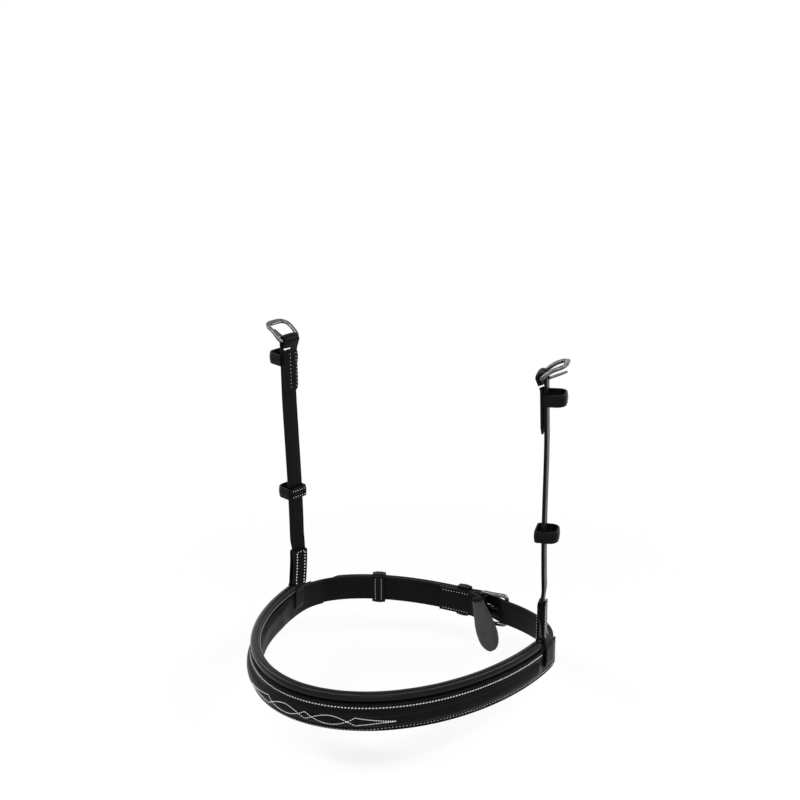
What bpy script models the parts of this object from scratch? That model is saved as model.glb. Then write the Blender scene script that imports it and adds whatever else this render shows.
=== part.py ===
"""English bridle noseband: a raised, padded nosepiece, a buckled jaw strap and two hangers.

The ring that goes round the nose lies level. +Z is up the horse's face, -Y is the front of the
nose and +X is the horse's left side. The origin is the middle of the nose opening, level with the
middle of the straps. Distances along the ring, called runs, start at the front of the nosepiece
and grow towards +X, round the back and up to the whole girth.
"""

import math

import bmesh
import bpy
import numpy as np
from mathutils import Matrix, Vector

# Plan of the ring: two half superellipses that meet at the widest line
RING_HALF_WIDTH = 0.1035
RING_FRONT_DEPTH = 0.149
RING_REAR_DEPTH = 0.061
FRONT_FULLNESS = 2.0
REAR_FULLNESS = 2.18
PLAN_STEPS = 720
SEGMENTS_ROUND = 60
LEAST_SEGMENT_SHARE = 0.2

# Ring leather
STRAP_WIDTH = 0.019
STRAP_THICKNESS = 0.0025
EDGE_ROUNDING = 0.0005
SEAT_GAP = 0.0003
SLIDING_GAP = 0.0006

# Nosepiece, from the outer leather to the lining: each layer ends a step past or short of the backing
BACKING_HALF_LENGTH = 0.1890
COVER_THICKNESS = 0.0014
COVER_OVERHANG = 0.027
COVER_HALF_LENGTH = BACKING_HALF_LENGTH + COVER_OVERHANG
RAISED_WIDTH = 0.009
RAISED_HEIGHT = 0.0026
RAISED_CENTRE_Z = -0.0016
RAISED_OVERHANG = 0.001
RAISED_HALF_LENGTH = BACKING_HALF_LENGTH + RAISED_OVERHANG
RAISED_FADE_LENGTH = 0.010
DOME_POINTS = 5
FILLER_INSET = 0.0009
PAD_THICKNESS = 0.0026
PAD_SHORTFALL = 0.005
PAD_HALF_LENGTH = BACKING_HALF_LENGTH - PAD_SHORTFALL
PAD_FADE_LENGTH = 0.022
PAD_END_THICKNESS = 0.0006
PAD_INSET = 0.001
LINING_STEP_LENGTH = 0.010
LINING_THICKNESS = 0.0012
LINING_OVERHANG = 0.035
LINING_HALF_LENGTH = BACKING_HALF_LENGTH + LINING_OVERHANG
ROLL_SHORTFALL = 0.0005
ROLL_HALF_LENGTH = BACKING_HALF_LENGTH - ROLL_SHORTFALL
ROLL_CORE_RADIUS = 0.0024
ROLL_SKIN = 0.001
ROLL_SETBACK = 0.001
ROLL_SLIT_ANGLE = math.radians(70)
ROLL_ARC_POINTS = 9

# Stitching
THREAD_RADIUS = 0.00035
UPPER_ROW_Z = 0.00715
LOWER_ROW_Z = -0.00735
LOWER_ROW_SHORTFALL = 0.007
UPPER_ROW_HALF_LENGTH = ROLL_HALF_LENGTH
LOWER_ROW_HALF_LENGTH = COVER_HALF_LENGTH - LOWER_ROW_SHORTFALL
FANCY_CROSSING_RUNS = (0.0046, 0.0281, 0.0585)
FANCY_AMPLITUDES = (0.0026, 0.0033, 0.0029)
FANCY_STEP = 0.0024
FANCY_END_INSET = 0.003
CROSSING_RISE_LENGTH = 0.0035

# Jaw strap, buckle strap and billet
BUCKLE_RUN = 0.309
CHAPE_LENGTH = 0.036
BILLET_TIP_RUN = 0.437
TIP_NOSE_LENGTH = -0.004
BILLET_RISE_LENGTH = 0.021
BILLET_SETTLE_LENGTH = 0.012
BILLET_HOLD_SHARE = 0.25
TIP_CUT_SLANT = math.radians(33)
HOLE_DIAMETER = 0.0044
HOLE_SIDES = 16
HOLE_IN_USE_LENGTH = 0.0150
HOLE_PITCH = 0.029
HOLES_BEFORE_BUCKLE = 1
HOLES_AFTER_BUCKLE = 3
HOLE_IN_USE_SETBACK = 0.0072
REAR_FIXED_KEEPER_RUN = 0.3265
REAR_RUNNING_KEEPER_RUN = 0.3965
REAR_KEEPER_WIDTH = 0.010
FLARE_LENGTH = 0.008

# Chin guard
GUARD_RUN = 0.3095
GUARD_OUT = -0.0076
GUARD_TOP_Z = 0.008
GUARD_LENGTH = 0.042
GUARD_THICKNESS = 0.0024
GUARD_SLANT = math.radians(19)
GUARD_TOP_HALF_WIDTH = 0.0068
GUARD_MIDDLE_HALF_WIDTH = 0.0098
GUARD_MIDDLE_SHARE = 0.5
GUARD_TIP_RADIUS = 0.0085
GUARD_ARC_POINTS = 7

# Buckles
REAR_WIRE_RADIUS = 0.0016
REAR_FRAME_REACH = 0.020
HANGER_WIRE_RADIUS = 0.0015
HANGER_FRAME_LENGTH = 0.0195
FRAME_SIDE_GAP = 0.0007
FRAME_CORNER_RADIUS = 0.0032
CORNER_POINTS = 4
BAR_GAP = 0.0004
REAR_TONGUE_RADIUS = 0.0011
HANGER_TONGUE_RADIUS = 0.001
TONGUE_OVERHANG = 0.0012
HANGER_FAR_BAR_SHARE = 1.3
TONGUE_WRAP_ANGLE = math.radians(250)
TONGUE_WRAP_POINTS = 8
SLOT_SIDE_GAP = 0.0008
WIRE_SIDES_RESOLUTION = 2

# Keepers
KEEPER_THICKNESS = 0.0014
KEEPER_CORNER_RADIUS = 0.0012
KEEPER_ARCH_RADIUS = 0.0055
ARCH_POINTS = 6

# Hangers
HANGER_OVERHANG = 0.0083
HANGER_RUN = BACKING_HALF_LENGTH + HANGER_OVERHANG
HANGER_WIDTH = 0.013
HANGER_THICKNESS = 0.0022
HANGER_CHAPE_SHIFT = 0.0015
LOOP_THICKNESS = 0.0027
LOOP_CLEARANCE = 0.0009
LOOP_PLIES_OUT = -0.0021
LOOP_SLOT_Z = -0.0038
LOOP_SLOT_ROOM = 0.0007
LOOP_CORNER_RADIUS = 0.0030
LOOP_CORNER_POINTS = 4
LOOP_SHOULDER_RISE = 0.0015
LOOP_CLOSING_RISE = 0.009
NECK_HEIGHT = 0.045
NECK_END_POINTS = 6
HANGER_TWIST = math.radians(16)
HANGER_TOP_OUT = 0.1005
HANGER_TOP_SETBACK = -0.0108
HANGER_TOP_HEIGHT = 0.2093
HANGER_TOP = (HANGER_TOP_OUT, HANGER_TOP_SETBACK, HANGER_TOP_HEIGHT)
HANGER_BOW = -0.0009
HANGER_SEGMENTS = 9
HANGER_CHAPE_LENGTH = 0.042
FOLD_POINTS = 9
SLOT_DEPTH = 0.008
FRAME_LEAN = math.radians(60)
TONGUE_LEAN = math.radians(68)
HANGER_FIXED_KEEPER_DROP = 0.0150
HANGER_FIXED_KEEPER_REACH = 0.0165
LEFT_RUNNING_KEEPER_DROP = 0.1140
RIGHT_RUNNING_KEEPER_DROP = 0.1195
HANGER_RUNNING_KEEPER_REACH = 0.0115
HANGER_RUNNING_KEEPER_SLACK = 0.0022
HANGER_KEEPER_WIDTH = 0.0085

# One length by which every cutter runs past what it cuts
OVERRUN = 0.002

# Radial seats of the layers, measured outwards from the middle of the ring strap
STRAP_FACE = STRAP_THICKNESS / 2
COVER_INNER = STRAP_FACE + SEAT_GAP
COVER_OUTER = COVER_INNER + COVER_THICKNESS
PAD_OUTER = -STRAP_FACE - SEAT_GAP
ROLL_RADIUS = ROLL_CORE_RADIUS + SEAT_GAP + ROLL_SKIN
ROLL_Z = STRAP_WIDTH / 2 + SEAT_GAP + ROLL_RADIUS
PLY_STEP = STRAP_THICKNESS + SEAT_GAP
HANGER_PLY_HALF_STEP = (HANGER_THICKNESS + SEAT_GAP) / 2
LOOP_PLY_HALF_STEP = (LOOP_THICKNESS + SEAT_GAP) / 2
REAR_FOLD_RADIUS = REAR_WIRE_RADIUS + BAR_GAP + STRAP_THICKNESS / 2
HANGER_FOLD_RADIUS = HANGER_WIRE_RADIUS + BAR_GAP + HANGER_THICKNESS / 2

COLLECTION_NAME = "bridle_noseband"


def clear_scene():
    for obj in list(bpy.data.objects):
        bpy.data.objects.remove(obj, do_unlink=True)


def new_collection(name):
    collection = bpy.data.collections.new(name)
    bpy.context.scene.collection.children.link(collection)
    return collection


def principled(name, colour, roughness, metallic=0.0):
    """A Principled material; colour is linear RGB."""
    material = bpy.data.materials.new(name)
    material.use_nodes = True
    shader = material.node_tree.nodes["Principled BSDF"]
    shader.inputs["Base Color"].default_value = (*colour, 1.0)
    shader.inputs["Roughness"].default_value = roughness
    shader.inputs["Metallic"].default_value = metallic
    return material


clear_scene()
PARTS = new_collection(COLLECTION_NAME)
CUTTERS = new_collection("cutters")


def leather(piece):
    return principled(f"{piece}_leather", (0.010, 0.010, 0.011), 0.42)


def suede(piece):
    return principled(f"{piece}_suede", (0.030, 0.030, 0.032), 0.85)


def steel(piece):
    return principled(f"{piece}_steel", (0.62, 0.61, 0.60), 0.25, 1.0)


def thread(piece):
    return principled(f"{piece}_thread", (0.80, 0.79, 0.76), 0.70)


def foam(piece):
    return principled(f"{piece}_foam", (0.55, 0.53, 0.45), 0.90)


def add_object(name, data, material, matrix=None):
    obj = bpy.data.objects.new(name, data)
    obj.data.materials.append(material)
    PARTS.objects.link(obj)
    if matrix is not None:
        obj.matrix_world = matrix
    return obj


def poly_curve(name, points, closed=False, dimensions="2D"):
    """A curve datablock that joins points with straight lines."""
    data = bpy.data.curves.new(name, "CURVE")
    data.dimensions = dimensions
    data.fill_mode = "NONE" if dimensions == "2D" else "FULL"
    add_spline(data, points, closed)
    return data


def add_spline(data, points, closed):
    spline = data.splines.new("POLY")
    spline.points.add(len(points) - 1)
    for control, point in zip(spline.points, points):
        control.co = (*point, *[0.0] * (3 - len(point)), 1.0)
    spline.use_cyclic_u = closed


def round_edges(obj, width=EDGE_ROUNDING):
    bevel = obj.modifiers.new("rounded_edges", "BEVEL")
    bevel.width = width
    bevel.segments = 1
    bevel.limit_method = "ANGLE"
    bevel.angle_limit = math.radians(50)


def strap(name, points, width, thickness, material, matrix=None):
    """A flat strap: a ribbon that follows plan points, given its thickness and rounded edges."""
    data = poly_curve(name, points)
    data.extrude = width / 2
    obj = add_object(name, data, material, matrix)
    skin = obj.modifiers.new("thickness", "SOLIDIFY")
    skin.thickness = thickness
    skin.offset = 0.0
    skin.use_even_offset = True
    round_edges(obj)
    return obj


def tube(name, points, radius, material, matrix=None, closed=False, resolution=WIRE_SIDES_RESOLUTION):
    """A round wire, cord or thread along points."""
    data = poly_curve(name, points, closed, "3D")
    data.bevel_depth = radius
    data.bevel_resolution = resolution
    data.use_fill_caps = not closed
    return add_object(name, data, material, matrix)


def plate(name, outlines, thickness, material, matrix=None):
    """A flat plate whose outline may hold a second, inner outline."""
    data = poly_curve(name, outlines[0], True)
    for outline in outlines[1:]:
        add_spline(data, outline, True)
    data.fill_mode = "BOTH"
    data.extrude = thickness / 2
    obj = add_object(name, data, material, matrix)
    weld = obj.modifiers.new("weld", "WELD")
    weld.merge_threshold = SEAT_GAP / 100
    return obj


def loft(name, sections, material):
    """A solid through unlike sections, each a loop of the same number of points."""
    mesh = bmesh.new()
    loops = [[mesh.verts.new(point) for point in section] for section in sections]
    for near, far in zip(loops, loops[1:]):
        for index in range(len(near)):
            following = (index + 1) % len(near)
            mesh.faces.new((near[index], near[following], far[following], far[index]))
    mesh.faces.new(reversed(loops[0]))
    mesh.faces.new(loops[-1])
    bmesh.ops.recalc_face_normals(mesh, faces=mesh.faces)
    data = bpy.data.meshes.new(name)
    mesh.to_mesh(data)
    mesh.free()
    data.shade_smooth()
    data.set_sharp_from_angle(angle=math.radians(40))
    return add_object(name, data, material)


def to_mesh(obj):
    """The object as a welded mesh that a Boolean can cut, in the same place."""
    bpy.context.view_layer.update()
    graph = bpy.context.evaluated_depsgraph_get()
    data = bpy.data.meshes.new_from_object(obj.evaluated_get(graph))
    mesh = bmesh.new()
    mesh.from_mesh(data)
    bmesh.ops.remove_doubles(mesh, verts=mesh.verts, dist=SEAT_GAP / 100)
    bmesh.ops.recalc_face_normals(mesh, faces=mesh.faces)
    mesh.to_mesh(data)
    mesh.free()
    name, matrix = obj.name, obj.matrix_world.copy()
    bpy.data.objects.remove(obj, do_unlink=True)
    data.name = name
    solid = bpy.data.objects.new(name, data)
    PARTS.objects.link(solid)
    solid.matrix_world = matrix
    return solid


def cut(obj, cutter):
    difference = obj.modifiers.new(cutter.name, "BOOLEAN")
    difference.operation = "DIFFERENCE"
    difference.solver = "EXACT"
    difference.object = cutter


def add_cutter(name, mesh, matrix):
    data = bpy.data.meshes.new(name)
    mesh.to_mesh(data)
    mesh.free()
    cutter = bpy.data.objects.new(name, data)
    cutter.matrix_world = matrix
    cutter.hide_render = True
    cutter.display_type = "WIRE"
    CUTTERS.objects.link(cutter)
    return cutter


def cylinder_cutter(name, radius, length, matrix):
    """A cutter whose axis is the matrix's Z axis."""
    mesh = bmesh.new()
    bmesh.ops.create_cone(
        mesh, cap_ends=True, segments=HOLE_SIDES, radius1=radius, radius2=radius, depth=length
    )
    return add_cutter(name, mesh, matrix)


def box_cutter(name, size, matrix):
    mesh = bmesh.new()
    bmesh.ops.create_cube(mesh, size=1.0)
    bmesh.ops.scale(mesh, vec=size, verts=mesh.verts)
    return add_cutter(name, mesh, matrix)


def axes_matrix(origin, x_axis, y_axis, z_axis):
    """A placement from an origin and three unit axes."""
    rotation = Matrix((x_axis, y_axis, z_axis)).transposed()
    return Matrix.Translation(origin) @ rotation.to_4x4()


def ring_half():
    """Plan points of the +X half of the ring from front to back, and their runs."""
    turn = np.linspace(0, math.pi, PLAN_STEPS + 1)
    front = turn < math.pi / 2
    depth = np.where(front, RING_FRONT_DEPTH, RING_REAR_DEPTH)
    power = 2 / np.where(front, FRONT_FULLNESS, REAR_FULLNESS)
    x = RING_HALF_WIDTH * np.abs(np.sin(turn)) ** power
    y = -depth * np.sign(np.cos(turn)) * np.abs(np.cos(turn)) ** power
    runs = np.concatenate(([0.0], np.cumsum(np.hypot(np.diff(x), np.diff(y)))))
    return x, y, runs


HALF_X, HALF_Y, HALF_RUNS = ring_half()
GIRTH = 2 * float(HALF_RUNS[-1])
SEGMENT_LENGTH = GIRTH / SEGMENTS_ROUND


def plan_at(run):
    """The ring's plan point at a run of any size or sign."""
    folded = (run + GIRTH / 2) % GIRTH - GIRTH / 2
    x = np.interp(abs(folded), HALF_RUNS, HALF_X)
    y = np.interp(abs(folded), HALF_RUNS, HALF_Y)
    return Vector((math.copysign(x, folded), y))


def ring_tangent(run):
    """The unit direction of growing run."""
    step = SEGMENT_LENGTH / 10
    return (plan_at(run + step) - plan_at(run - step)).normalized()


def ring_point(run, out=0.0):
    """The plan point at a run, moved outwards from the middle of the strap."""
    tangent = ring_tangent(run)
    return plan_at(run) + Vector((tangent.y, -tangent.x)) * out


def ring_matrix(run, out=0.0, z=0.0):
    """A placement on the ring: X outwards, Y along the strap and Z up."""
    tangent = ring_tangent(run)
    point = ring_point(run, out)
    return axes_matrix(
        (point.x, point.y, z), (tangent.y, -tangent.x, 0), (tangent.x, tangent.y, 0), (0, 0, 1)
    )


def stations(start, end, step=SEGMENT_LENGTH):
    """Runs from start to end, stopping at every whole step so that layers bend at the same places."""
    low, high = min(start, end), max(start, end)
    whole = step * np.arange(math.ceil(low / step), math.floor(high / step) + 1)
    nearest = LEAST_SEGMENT_SHARE * step
    inner = [run for run in whole if low + nearest < run < high - nearest]
    runs = [low, *inner, high]
    return [float(run) for run in (runs if start < end else reversed(runs))]


def smooth(share):
    """0 to 1 with level ends."""
    share = min(1.0, max(0.0, share))
    return share * share * (3 - 2 * share)


def fade(run, half_length, fade_length):
    """1 along the nosepiece, falling to 0 over its last fade_length on each side."""
    return smooth((half_length - abs(run)) / fade_length)


def dome(run, half_width, height, base):
    """Points up across the raised centre, a flattened half sine that fades out at its ends."""
    rise = height * fade(run, RAISED_HALF_LENGTH, RAISED_FADE_LENGTH)
    points = []
    for index in range(DOME_POINTS + 2):
        share = index / (DOME_POINTS + 1)
        z = RAISED_CENTRE_Z + half_width * (2 * share - 1)
        points.append((base + rise * math.sin(math.pi * share) ** 0.5, z))
    return points


def along_ring(runs, profile_at):
    """Sections of a loft: profile_at gives each run's own loop of (outwards, up) points."""
    return [[(*ring_point(run, out), z) for out, z in profile_at(run)] for run in runs]


def cover_profile(run):
    half = STRAP_WIDTH / 2
    outer = dome(run, RAISED_WIDTH / 2, RAISED_HEIGHT, COVER_OUTER)
    inner = dome(run, RAISED_WIDTH / 2 - FILLER_INSET, RAISED_HEIGHT, COVER_INNER)
    face = [(COVER_OUTER, -half), *outer, (COVER_OUTER, half)]
    back = [(COVER_INNER, half), *reversed(inner), (COVER_INNER, -half)]
    return face + back


def filler_profile(run):
    width = RAISED_WIDTH / 2 - FILLER_INSET - SEAT_GAP
    return dome(run, width, RAISED_HEIGHT - 1.5 * SEAT_GAP, COVER_INNER)


def pad_depth(run):
    thinning = fade(run, PAD_HALF_LENGTH, PAD_FADE_LENGTH)
    return PAD_END_THICKNESS + (PAD_THICKNESS - PAD_END_THICKNESS) * thinning


def pad_profile(run):
    inner = PAD_OUTER - pad_depth(run)
    middle = (PAD_OUTER + inner) / 2
    flat = STRAP_WIDTH / 2 - 2 * PAD_INSET
    side = STRAP_WIDTH / 2 - PAD_INSET / 2
    return [(PAD_OUTER, -flat), (PAD_OUTER, flat), (middle, side), (inner, flat), (inner, -flat), (middle, -side)]


def lining_profile(run):
    if abs(run) <= PAD_HALF_LENGTH:
        depth = pad_depth(run) + SEAT_GAP
    else:
        end = PAD_HALF_LENGTH + LINING_STEP_LENGTH
        depth = (PAD_END_THICKNESS + SEAT_GAP) * fade(run, end, LINING_STEP_LENGTH)
    outer = PAD_OUTER - depth
    inner = outer - LINING_THICKNESS
    half, corner = STRAP_WIDTH / 2, EDGE_ROUNDING
    top = [(outer, half), (inner + corner, half), (inner, half - corner)]
    return top + [(out, -z) for out, z in reversed(top)]


def cut_hanger_slot(obj, side):
    """The slot near the strap's lower edge that a hanger's loop passes through."""
    name = f"{obj.name}_{'left' if side > 0 else 'right'}_slot"
    thickness = LOOP_THICKNESS + 2 * LOOP_SLOT_ROOM
    depth = 2 * (COVER_OUTER + PAD_THICKNESS + OVERRUN)
    size = (depth, HANGER_WIDTH + 2 * LOOP_SLOT_ROOM, thickness)
    cut(obj, box_cutter(name, size, ring_matrix(side * HANGER_RUN, 0, LOOP_SLOT_Z)))


def make_nosepiece():
    """The nosepiece's layers, from its outer leather to the lining that meets the nose."""
    name = "nosepiece_cover"
    cover_runs = stations(-COVER_HALF_LENGTH, COVER_HALF_LENGTH)
    cover = loft(name, along_ring(cover_runs, cover_profile), leather(name))

    name = "raised_centre_filler"
    end = RAISED_HALF_LENGTH - RAISED_FADE_LENGTH - SEGMENT_LENGTH
    loft(name, along_ring(stations(-end, end), filler_profile), foam(name))

    name = "nosepiece_backing"
    path = [ring_point(run) for run in stations(-BACKING_HALF_LENGTH, BACKING_HALF_LENGTH)]
    strap(name, path, STRAP_WIDTH, STRAP_THICKNESS, leather(name))

    name = "nosepiece_pad"
    loft(name, along_ring(stations(-PAD_HALF_LENGTH, PAD_HALF_LENGTH), pad_profile), foam(name))

    name = "nosepiece_lining"
    padded = stations(-PAD_HALF_LENGTH, PAD_HALF_LENGTH)
    tail = stations(PAD_HALF_LENGTH, LINING_HALF_LENGTH)[1:]
    runs = [-run for run in reversed(tail)] + padded + tail
    lining = loft(name, along_ring(runs, lining_profile), leather(name))
    for side in (1, -1):
        cut_hanger_slot(cover, side)
        cut_hanger_slot(lining, side)


def arc(centre, radius, start, end, points):
    """Plan points round a centre, from one angle to another."""
    return [
        (centre[0] + radius * math.cos(angle), centre[1] + radius * math.sin(angle))
        for angle in np.linspace(start, end, points)
    ]


def make_rolled_edge():
    """The soft leather sleeve round the nosepiece's top edge, open below, and its core."""
    runs = stations(-ROLL_HALF_LENGTH, ROLL_HALF_LENGTH)
    slit = ROLL_SLIT_ANGLE / 2
    start, end = slit - math.pi / 2, 3 * math.pi / 2 - slit
    centre = (-ROLL_SETBACK, ROLL_Z)
    profile = arc(centre, ROLL_RADIUS, start, end, ROLL_ARC_POINTS)
    profile += arc(centre, ROLL_RADIUS - ROLL_SKIN, end, start, ROLL_ARC_POINTS)
    loft("rolled_edge", along_ring(runs, lambda run: profile), leather("rolled_edge"))
    path = [(*ring_point(run, -ROLL_SETBACK), ROLL_Z) for run in runs]
    tube("rolled_edge_core", path, ROLL_CORE_RADIUS, foam("rolled_edge_core"), resolution=1)


def crossing_share(run):
    """1 where the two fancy stitch threads cross, 0 away from it."""
    nearest = min(abs(abs(run) - crossing) for crossing in FANCY_CROSSING_RUNS)
    return smooth(1 - nearest / CROSSING_RISE_LENGTH)


def fancy_offset(run):
    """How far above the raised centre's middle the first fancy stitch thread runs."""
    edges = (-FANCY_CROSSING_RUNS[0], *FANCY_CROSSING_RUNS)
    for index, amplitude in enumerate(FANCY_AMPLITUDES):
        start, end = edges[index], edges[index + 1]
        if abs(run) <= end:
            sign = -1 if index % 2 else 1
            mirrored = -1 if run < 0 and index else 1
            return sign * mirrored * amplitude * math.sin(math.pi * (abs(run) - start) / (end - start))
    return 0.0


def raised_surface(z):
    """How far outwards the raised centre stands at a height."""
    share = (z - RAISED_CENTRE_Z) / RAISED_WIDTH + 0.5
    return COVER_OUTER + RAISED_HEIGHT * math.sin(math.pi * share) ** 0.5


def make_stitching():
    """The two long rows of the nosepiece and the two threads of its fancy stitch."""
    lift = SEAT_GAP + THREAD_RADIUS
    rows = (
        ("upper_stitch_row", UPPER_ROW_Z, UPPER_ROW_HALF_LENGTH),
        ("lower_stitch_row", LOWER_ROW_Z, LOWER_ROW_HALF_LENGTH),
    )
    for name, z, half_length in rows:
        path = [(*ring_point(run, COVER_OUTER + lift), z) for run in stations(-half_length, half_length)]
        tube(name, path, THREAD_RADIUS, thread(name), resolution=0)
    end = FANCY_CROSSING_RUNS[-1] - FANCY_END_INSET
    for name, sign in (("fancy_stitch_under_thread", 1), ("fancy_stitch_over_thread", -1)):
        path = []
        for run in stations(-end, end, FANCY_STEP):
            z = RAISED_CENTRE_Z + sign * fancy_offset(run)
            over = 2 * lift * crossing_share(run) if sign < 0 else 0.0
            path.append((*ring_point(run, raised_surface(z) + lift + over), z))
        tube(name, path, THREAD_RADIUS, thread(name), resolution=0)


def keeper_outline(x_low, x_high, half_width, front_radius, grow):
    """A rounded rectangle, grown outwards by grow."""
    back, front = KEEPER_CORNER_RADIUS + grow, front_radius + grow
    x_low, x_high, y = x_low - grow, x_high + grow, half_width + grow
    corners = (
        (x_high - front, y - front, front, 0.0),
        (x_low + back, y - back, back, math.pi / 2),
        (x_low + back, back - y, back, math.pi),
        (x_high - front, front - y, front, 3 * math.pi / 2),
    )
    points = []
    for x, centre_y, radius, start in corners:
        points += arc((x, centre_y), radius, start, start + math.pi / 2, CORNER_POINTS)
    return points


def keeper(name, space, width, matrix, front_radius=KEEPER_CORNER_RADIUS):
    """A leather band round a space of (x low, x high, half its y); its own width runs along Z."""
    outlines = [keeper_outline(*space, front_radius, grow) for grow in (KEEPER_THICKNESS, 0.0)]
    return plate(name, outlines, width, leather(name), matrix)


def arched_keeper(name, x_start, x_end, half_width, width, matrix, radius):
    """A keeper whose ends stop at x_start, where the plies behind it are sewn together."""
    x, y = x_end - KEEPER_THICKNESS / 2, half_width + KEEPER_THICKNESS / 2
    path = [(x_start, y), *arc((x - radius, y - radius), radius, math.pi / 2, 0, ARCH_POINTS)]
    path += [(x, -y) for x, y in reversed(path)]
    strap(name, path, width, KEEPER_THICKNESS, leather(name), matrix)


def make_buckle_frame(name, strap_width, wire_radius, length, matrix, far_bar_share=1.0):
    """A wire frame whose bar lies along Y through the matrix's origin; its thicker far bar is at +Z."""
    half = strap_width / 2 + FRAME_SIDE_GAP + wire_radius
    radius = FRAME_CORNER_RADIUS
    corners = (
        (half - radius, length - radius, 0.0),
        (radius - half, length - radius, math.pi / 2),
        (radius - half, radius, math.pi),
        (half - radius, radius, 3 * math.pi / 2),
    )
    points = []
    for y, z, start in corners:
        points += [(0.0, *point) for point in arc((y, z), radius, start, start + math.pi / 2, CORNER_POINTS)]
    frame = tube(name, points, wire_radius, steel(name), matrix, closed=True)
    for control in frame.data.splines[0].points:
        control.radius = far_bar_share if control.co.z > length - radius / 2 else 1.0


def make_tongue(name, wire_radius, radius, length, matrix):
    """A tongue hooked round the bar at the matrix's origin, its shank along +Z in front of the frame."""
    hook = wire_radius + radius + BAR_GAP
    wrap = arc((0.0, 0.0), hook, -TONGUE_WRAP_ANGLE, 0.0, TONGUE_WRAP_POINTS)
    tip = (wire_radius + radius + SEAT_GAP, length + TONGUE_OVERHANG)
    points = [(x, 0.0, z) for x, z in [*wrap, tip]]
    tube(name, points, radius, steel(name), matrix)


def upright(matrix):
    """The placement turned so that its Y axis takes the place of Z, and -Y the place of Y."""
    return matrix @ Matrix.Rotation(math.pi / 2, 4, "X")


def tilted(matrix, angle):
    """The placement turned about its Y axis, so that its Z axis leans towards its X axis."""
    return matrix @ Matrix.Rotation(angle, 4, "Y")


def billet_out(run):
    """How far outwards the billet lies: on the ring's line, over the buckle's bar, then on the buckle strap."""
    crest = REAR_FOLD_RADIUS - PLY_STEP / 2 + PLY_STEP
    if run < BUCKLE_RUN:
        return crest * smooth((run - BUCKLE_RUN + BILLET_RISE_LENGTH) / BILLET_RISE_LENGTH)
    settled = smooth((run - BUCKLE_RUN) / BILLET_SETTLE_LENGTH - BILLET_HOLD_SHARE)
    return crest + (PLY_STEP - crest) * settled


def rear_buckle_matrix():
    """The rear buckle's placement: origin on its bar, Y up and Z towards its far bar."""
    bar = ring_point(BUCKLE_RUN, -PLY_STEP / 2)
    far_out = STRAP_FACE + SEAT_GAP + REAR_WIRE_RADIUS
    far = ring_point(BUCKLE_RUN - REAR_FRAME_REACH, far_out)
    along = (far - bar).normalized()
    return axes_matrix((*bar, 0.0), (-along.y, along.x, 0), (0, 0, 1), (*along, 0)), (far - bar).length


def make_buckle_strap():
    name = "buckle_strap"
    flare = BUCKLE_RUN + FLARE_LENGTH
    main_ply = [ring_point(run) for run in stations(GIRTH - BACKING_HALF_LENGTH - SEAT_GAP, flare)]
    turned_ply = [ring_point(run, -PLY_STEP) for run in stations(flare, BUCKLE_RUN + CHAPE_LENGTH)]
    bar = ring_matrix(BUCKLE_RUN, -PLY_STEP / 2)
    turn = [bar @ Vector((x, -ahead, 0)) for x, ahead in arc((0, 0), REAR_FOLD_RADIUS, 0, math.pi, FOLD_POINTS)]
    path = [*main_ply, *[point.to_2d() for point in turn], *turned_ply]
    leather_strap = to_mesh(strap(name, path, STRAP_WIDTH, STRAP_THICKNESS, leather(name)))
    reach = REAR_FOLD_RADIUS + STRAP_THICKNESS / 2 + OVERRUN
    slot = (2 * reach, 2 * (REAR_TONGUE_RADIUS + SLOT_SIDE_GAP), reach + SLOT_DEPTH)
    placement, _ = rear_buckle_matrix()
    shift = Matrix.Translation((0, 0, (reach - SLOT_DEPTH) / 2))
    cut(leather_strap, box_cutter("buckle_strap_tongue_slot", slot, placement @ shift))
    cut_hanger_slot(leather_strap, -1)


def make_billet():
    name = "billet_strap"
    fine_start = BUCKLE_RUN - BILLET_RISE_LENGTH
    fine_end = BUCKLE_RUN + 2 * BILLET_SETTLE_LENGTH
    runs = stations(BACKING_HALF_LENGTH + SEAT_GAP, fine_start)
    runs += stations(fine_start, fine_end, SEGMENT_LENGTH / 4)[1:]
    runs += stations(fine_end, BILLET_TIP_RUN)[1:]
    path = [ring_point(run, billet_out(run)) for run in runs]
    billet = to_mesh(strap(name, path, STRAP_WIDTH, STRAP_THICKNESS, leather(name)))
    in_use = BUCKLE_RUN - HOLE_IN_USE_SETBACK
    for index in range(-HOLES_BEFORE_BUCKLE, HOLES_AFTER_BUCKLE + 1):
        run = in_use + index * HOLE_PITCH
        across = ring_matrix(run, billet_out(run)) @ Matrix.Rotation(math.pi / 2, 4, "Y")
        length = HOLE_IN_USE_LENGTH if index == 0 else HOLE_DIAMETER
        stretch = Matrix.Diagonal((1, length / HOLE_DIAMETER, 1, 1))
        depth = 2 * (STRAP_THICKNESS + OVERRUN)
        cutter_name = f"billet_hole_{index + HOLES_BEFORE_BUCKLE + 1}"
        cut(billet, cylinder_cutter(cutter_name, HOLE_DIAMETER / 2, depth, across @ stretch))
    tip = ring_matrix(BILLET_TIP_RUN, PLY_STEP)
    for side, label in ((1, "upper"), (-1, "lower")):
        size = (2 * (STRAP_THICKNESS + OVERRUN), STRAP_WIDTH, 2 * STRAP_WIDTH)
        place = tip @ Matrix.Rotation(side * TIP_CUT_SLANT, 4, "X")
        shift = Matrix.Translation((0, TIP_NOSE_LENGTH + STRAP_WIDTH / 2, 0))
        cut(billet, box_cutter(f"billet_tip_{label}_cut", size, place @ shift))
    cut_hanger_slot(billet, 1)


def make_rear_buckle():
    placement, length = rear_buckle_matrix()
    make_buckle_frame("rear_buckle_frame", STRAP_WIDTH, REAR_WIRE_RADIUS, length, placement)
    make_tongue("rear_buckle_tongue", REAR_WIRE_RADIUS, REAR_TONGUE_RADIUS, length, placement)


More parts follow.
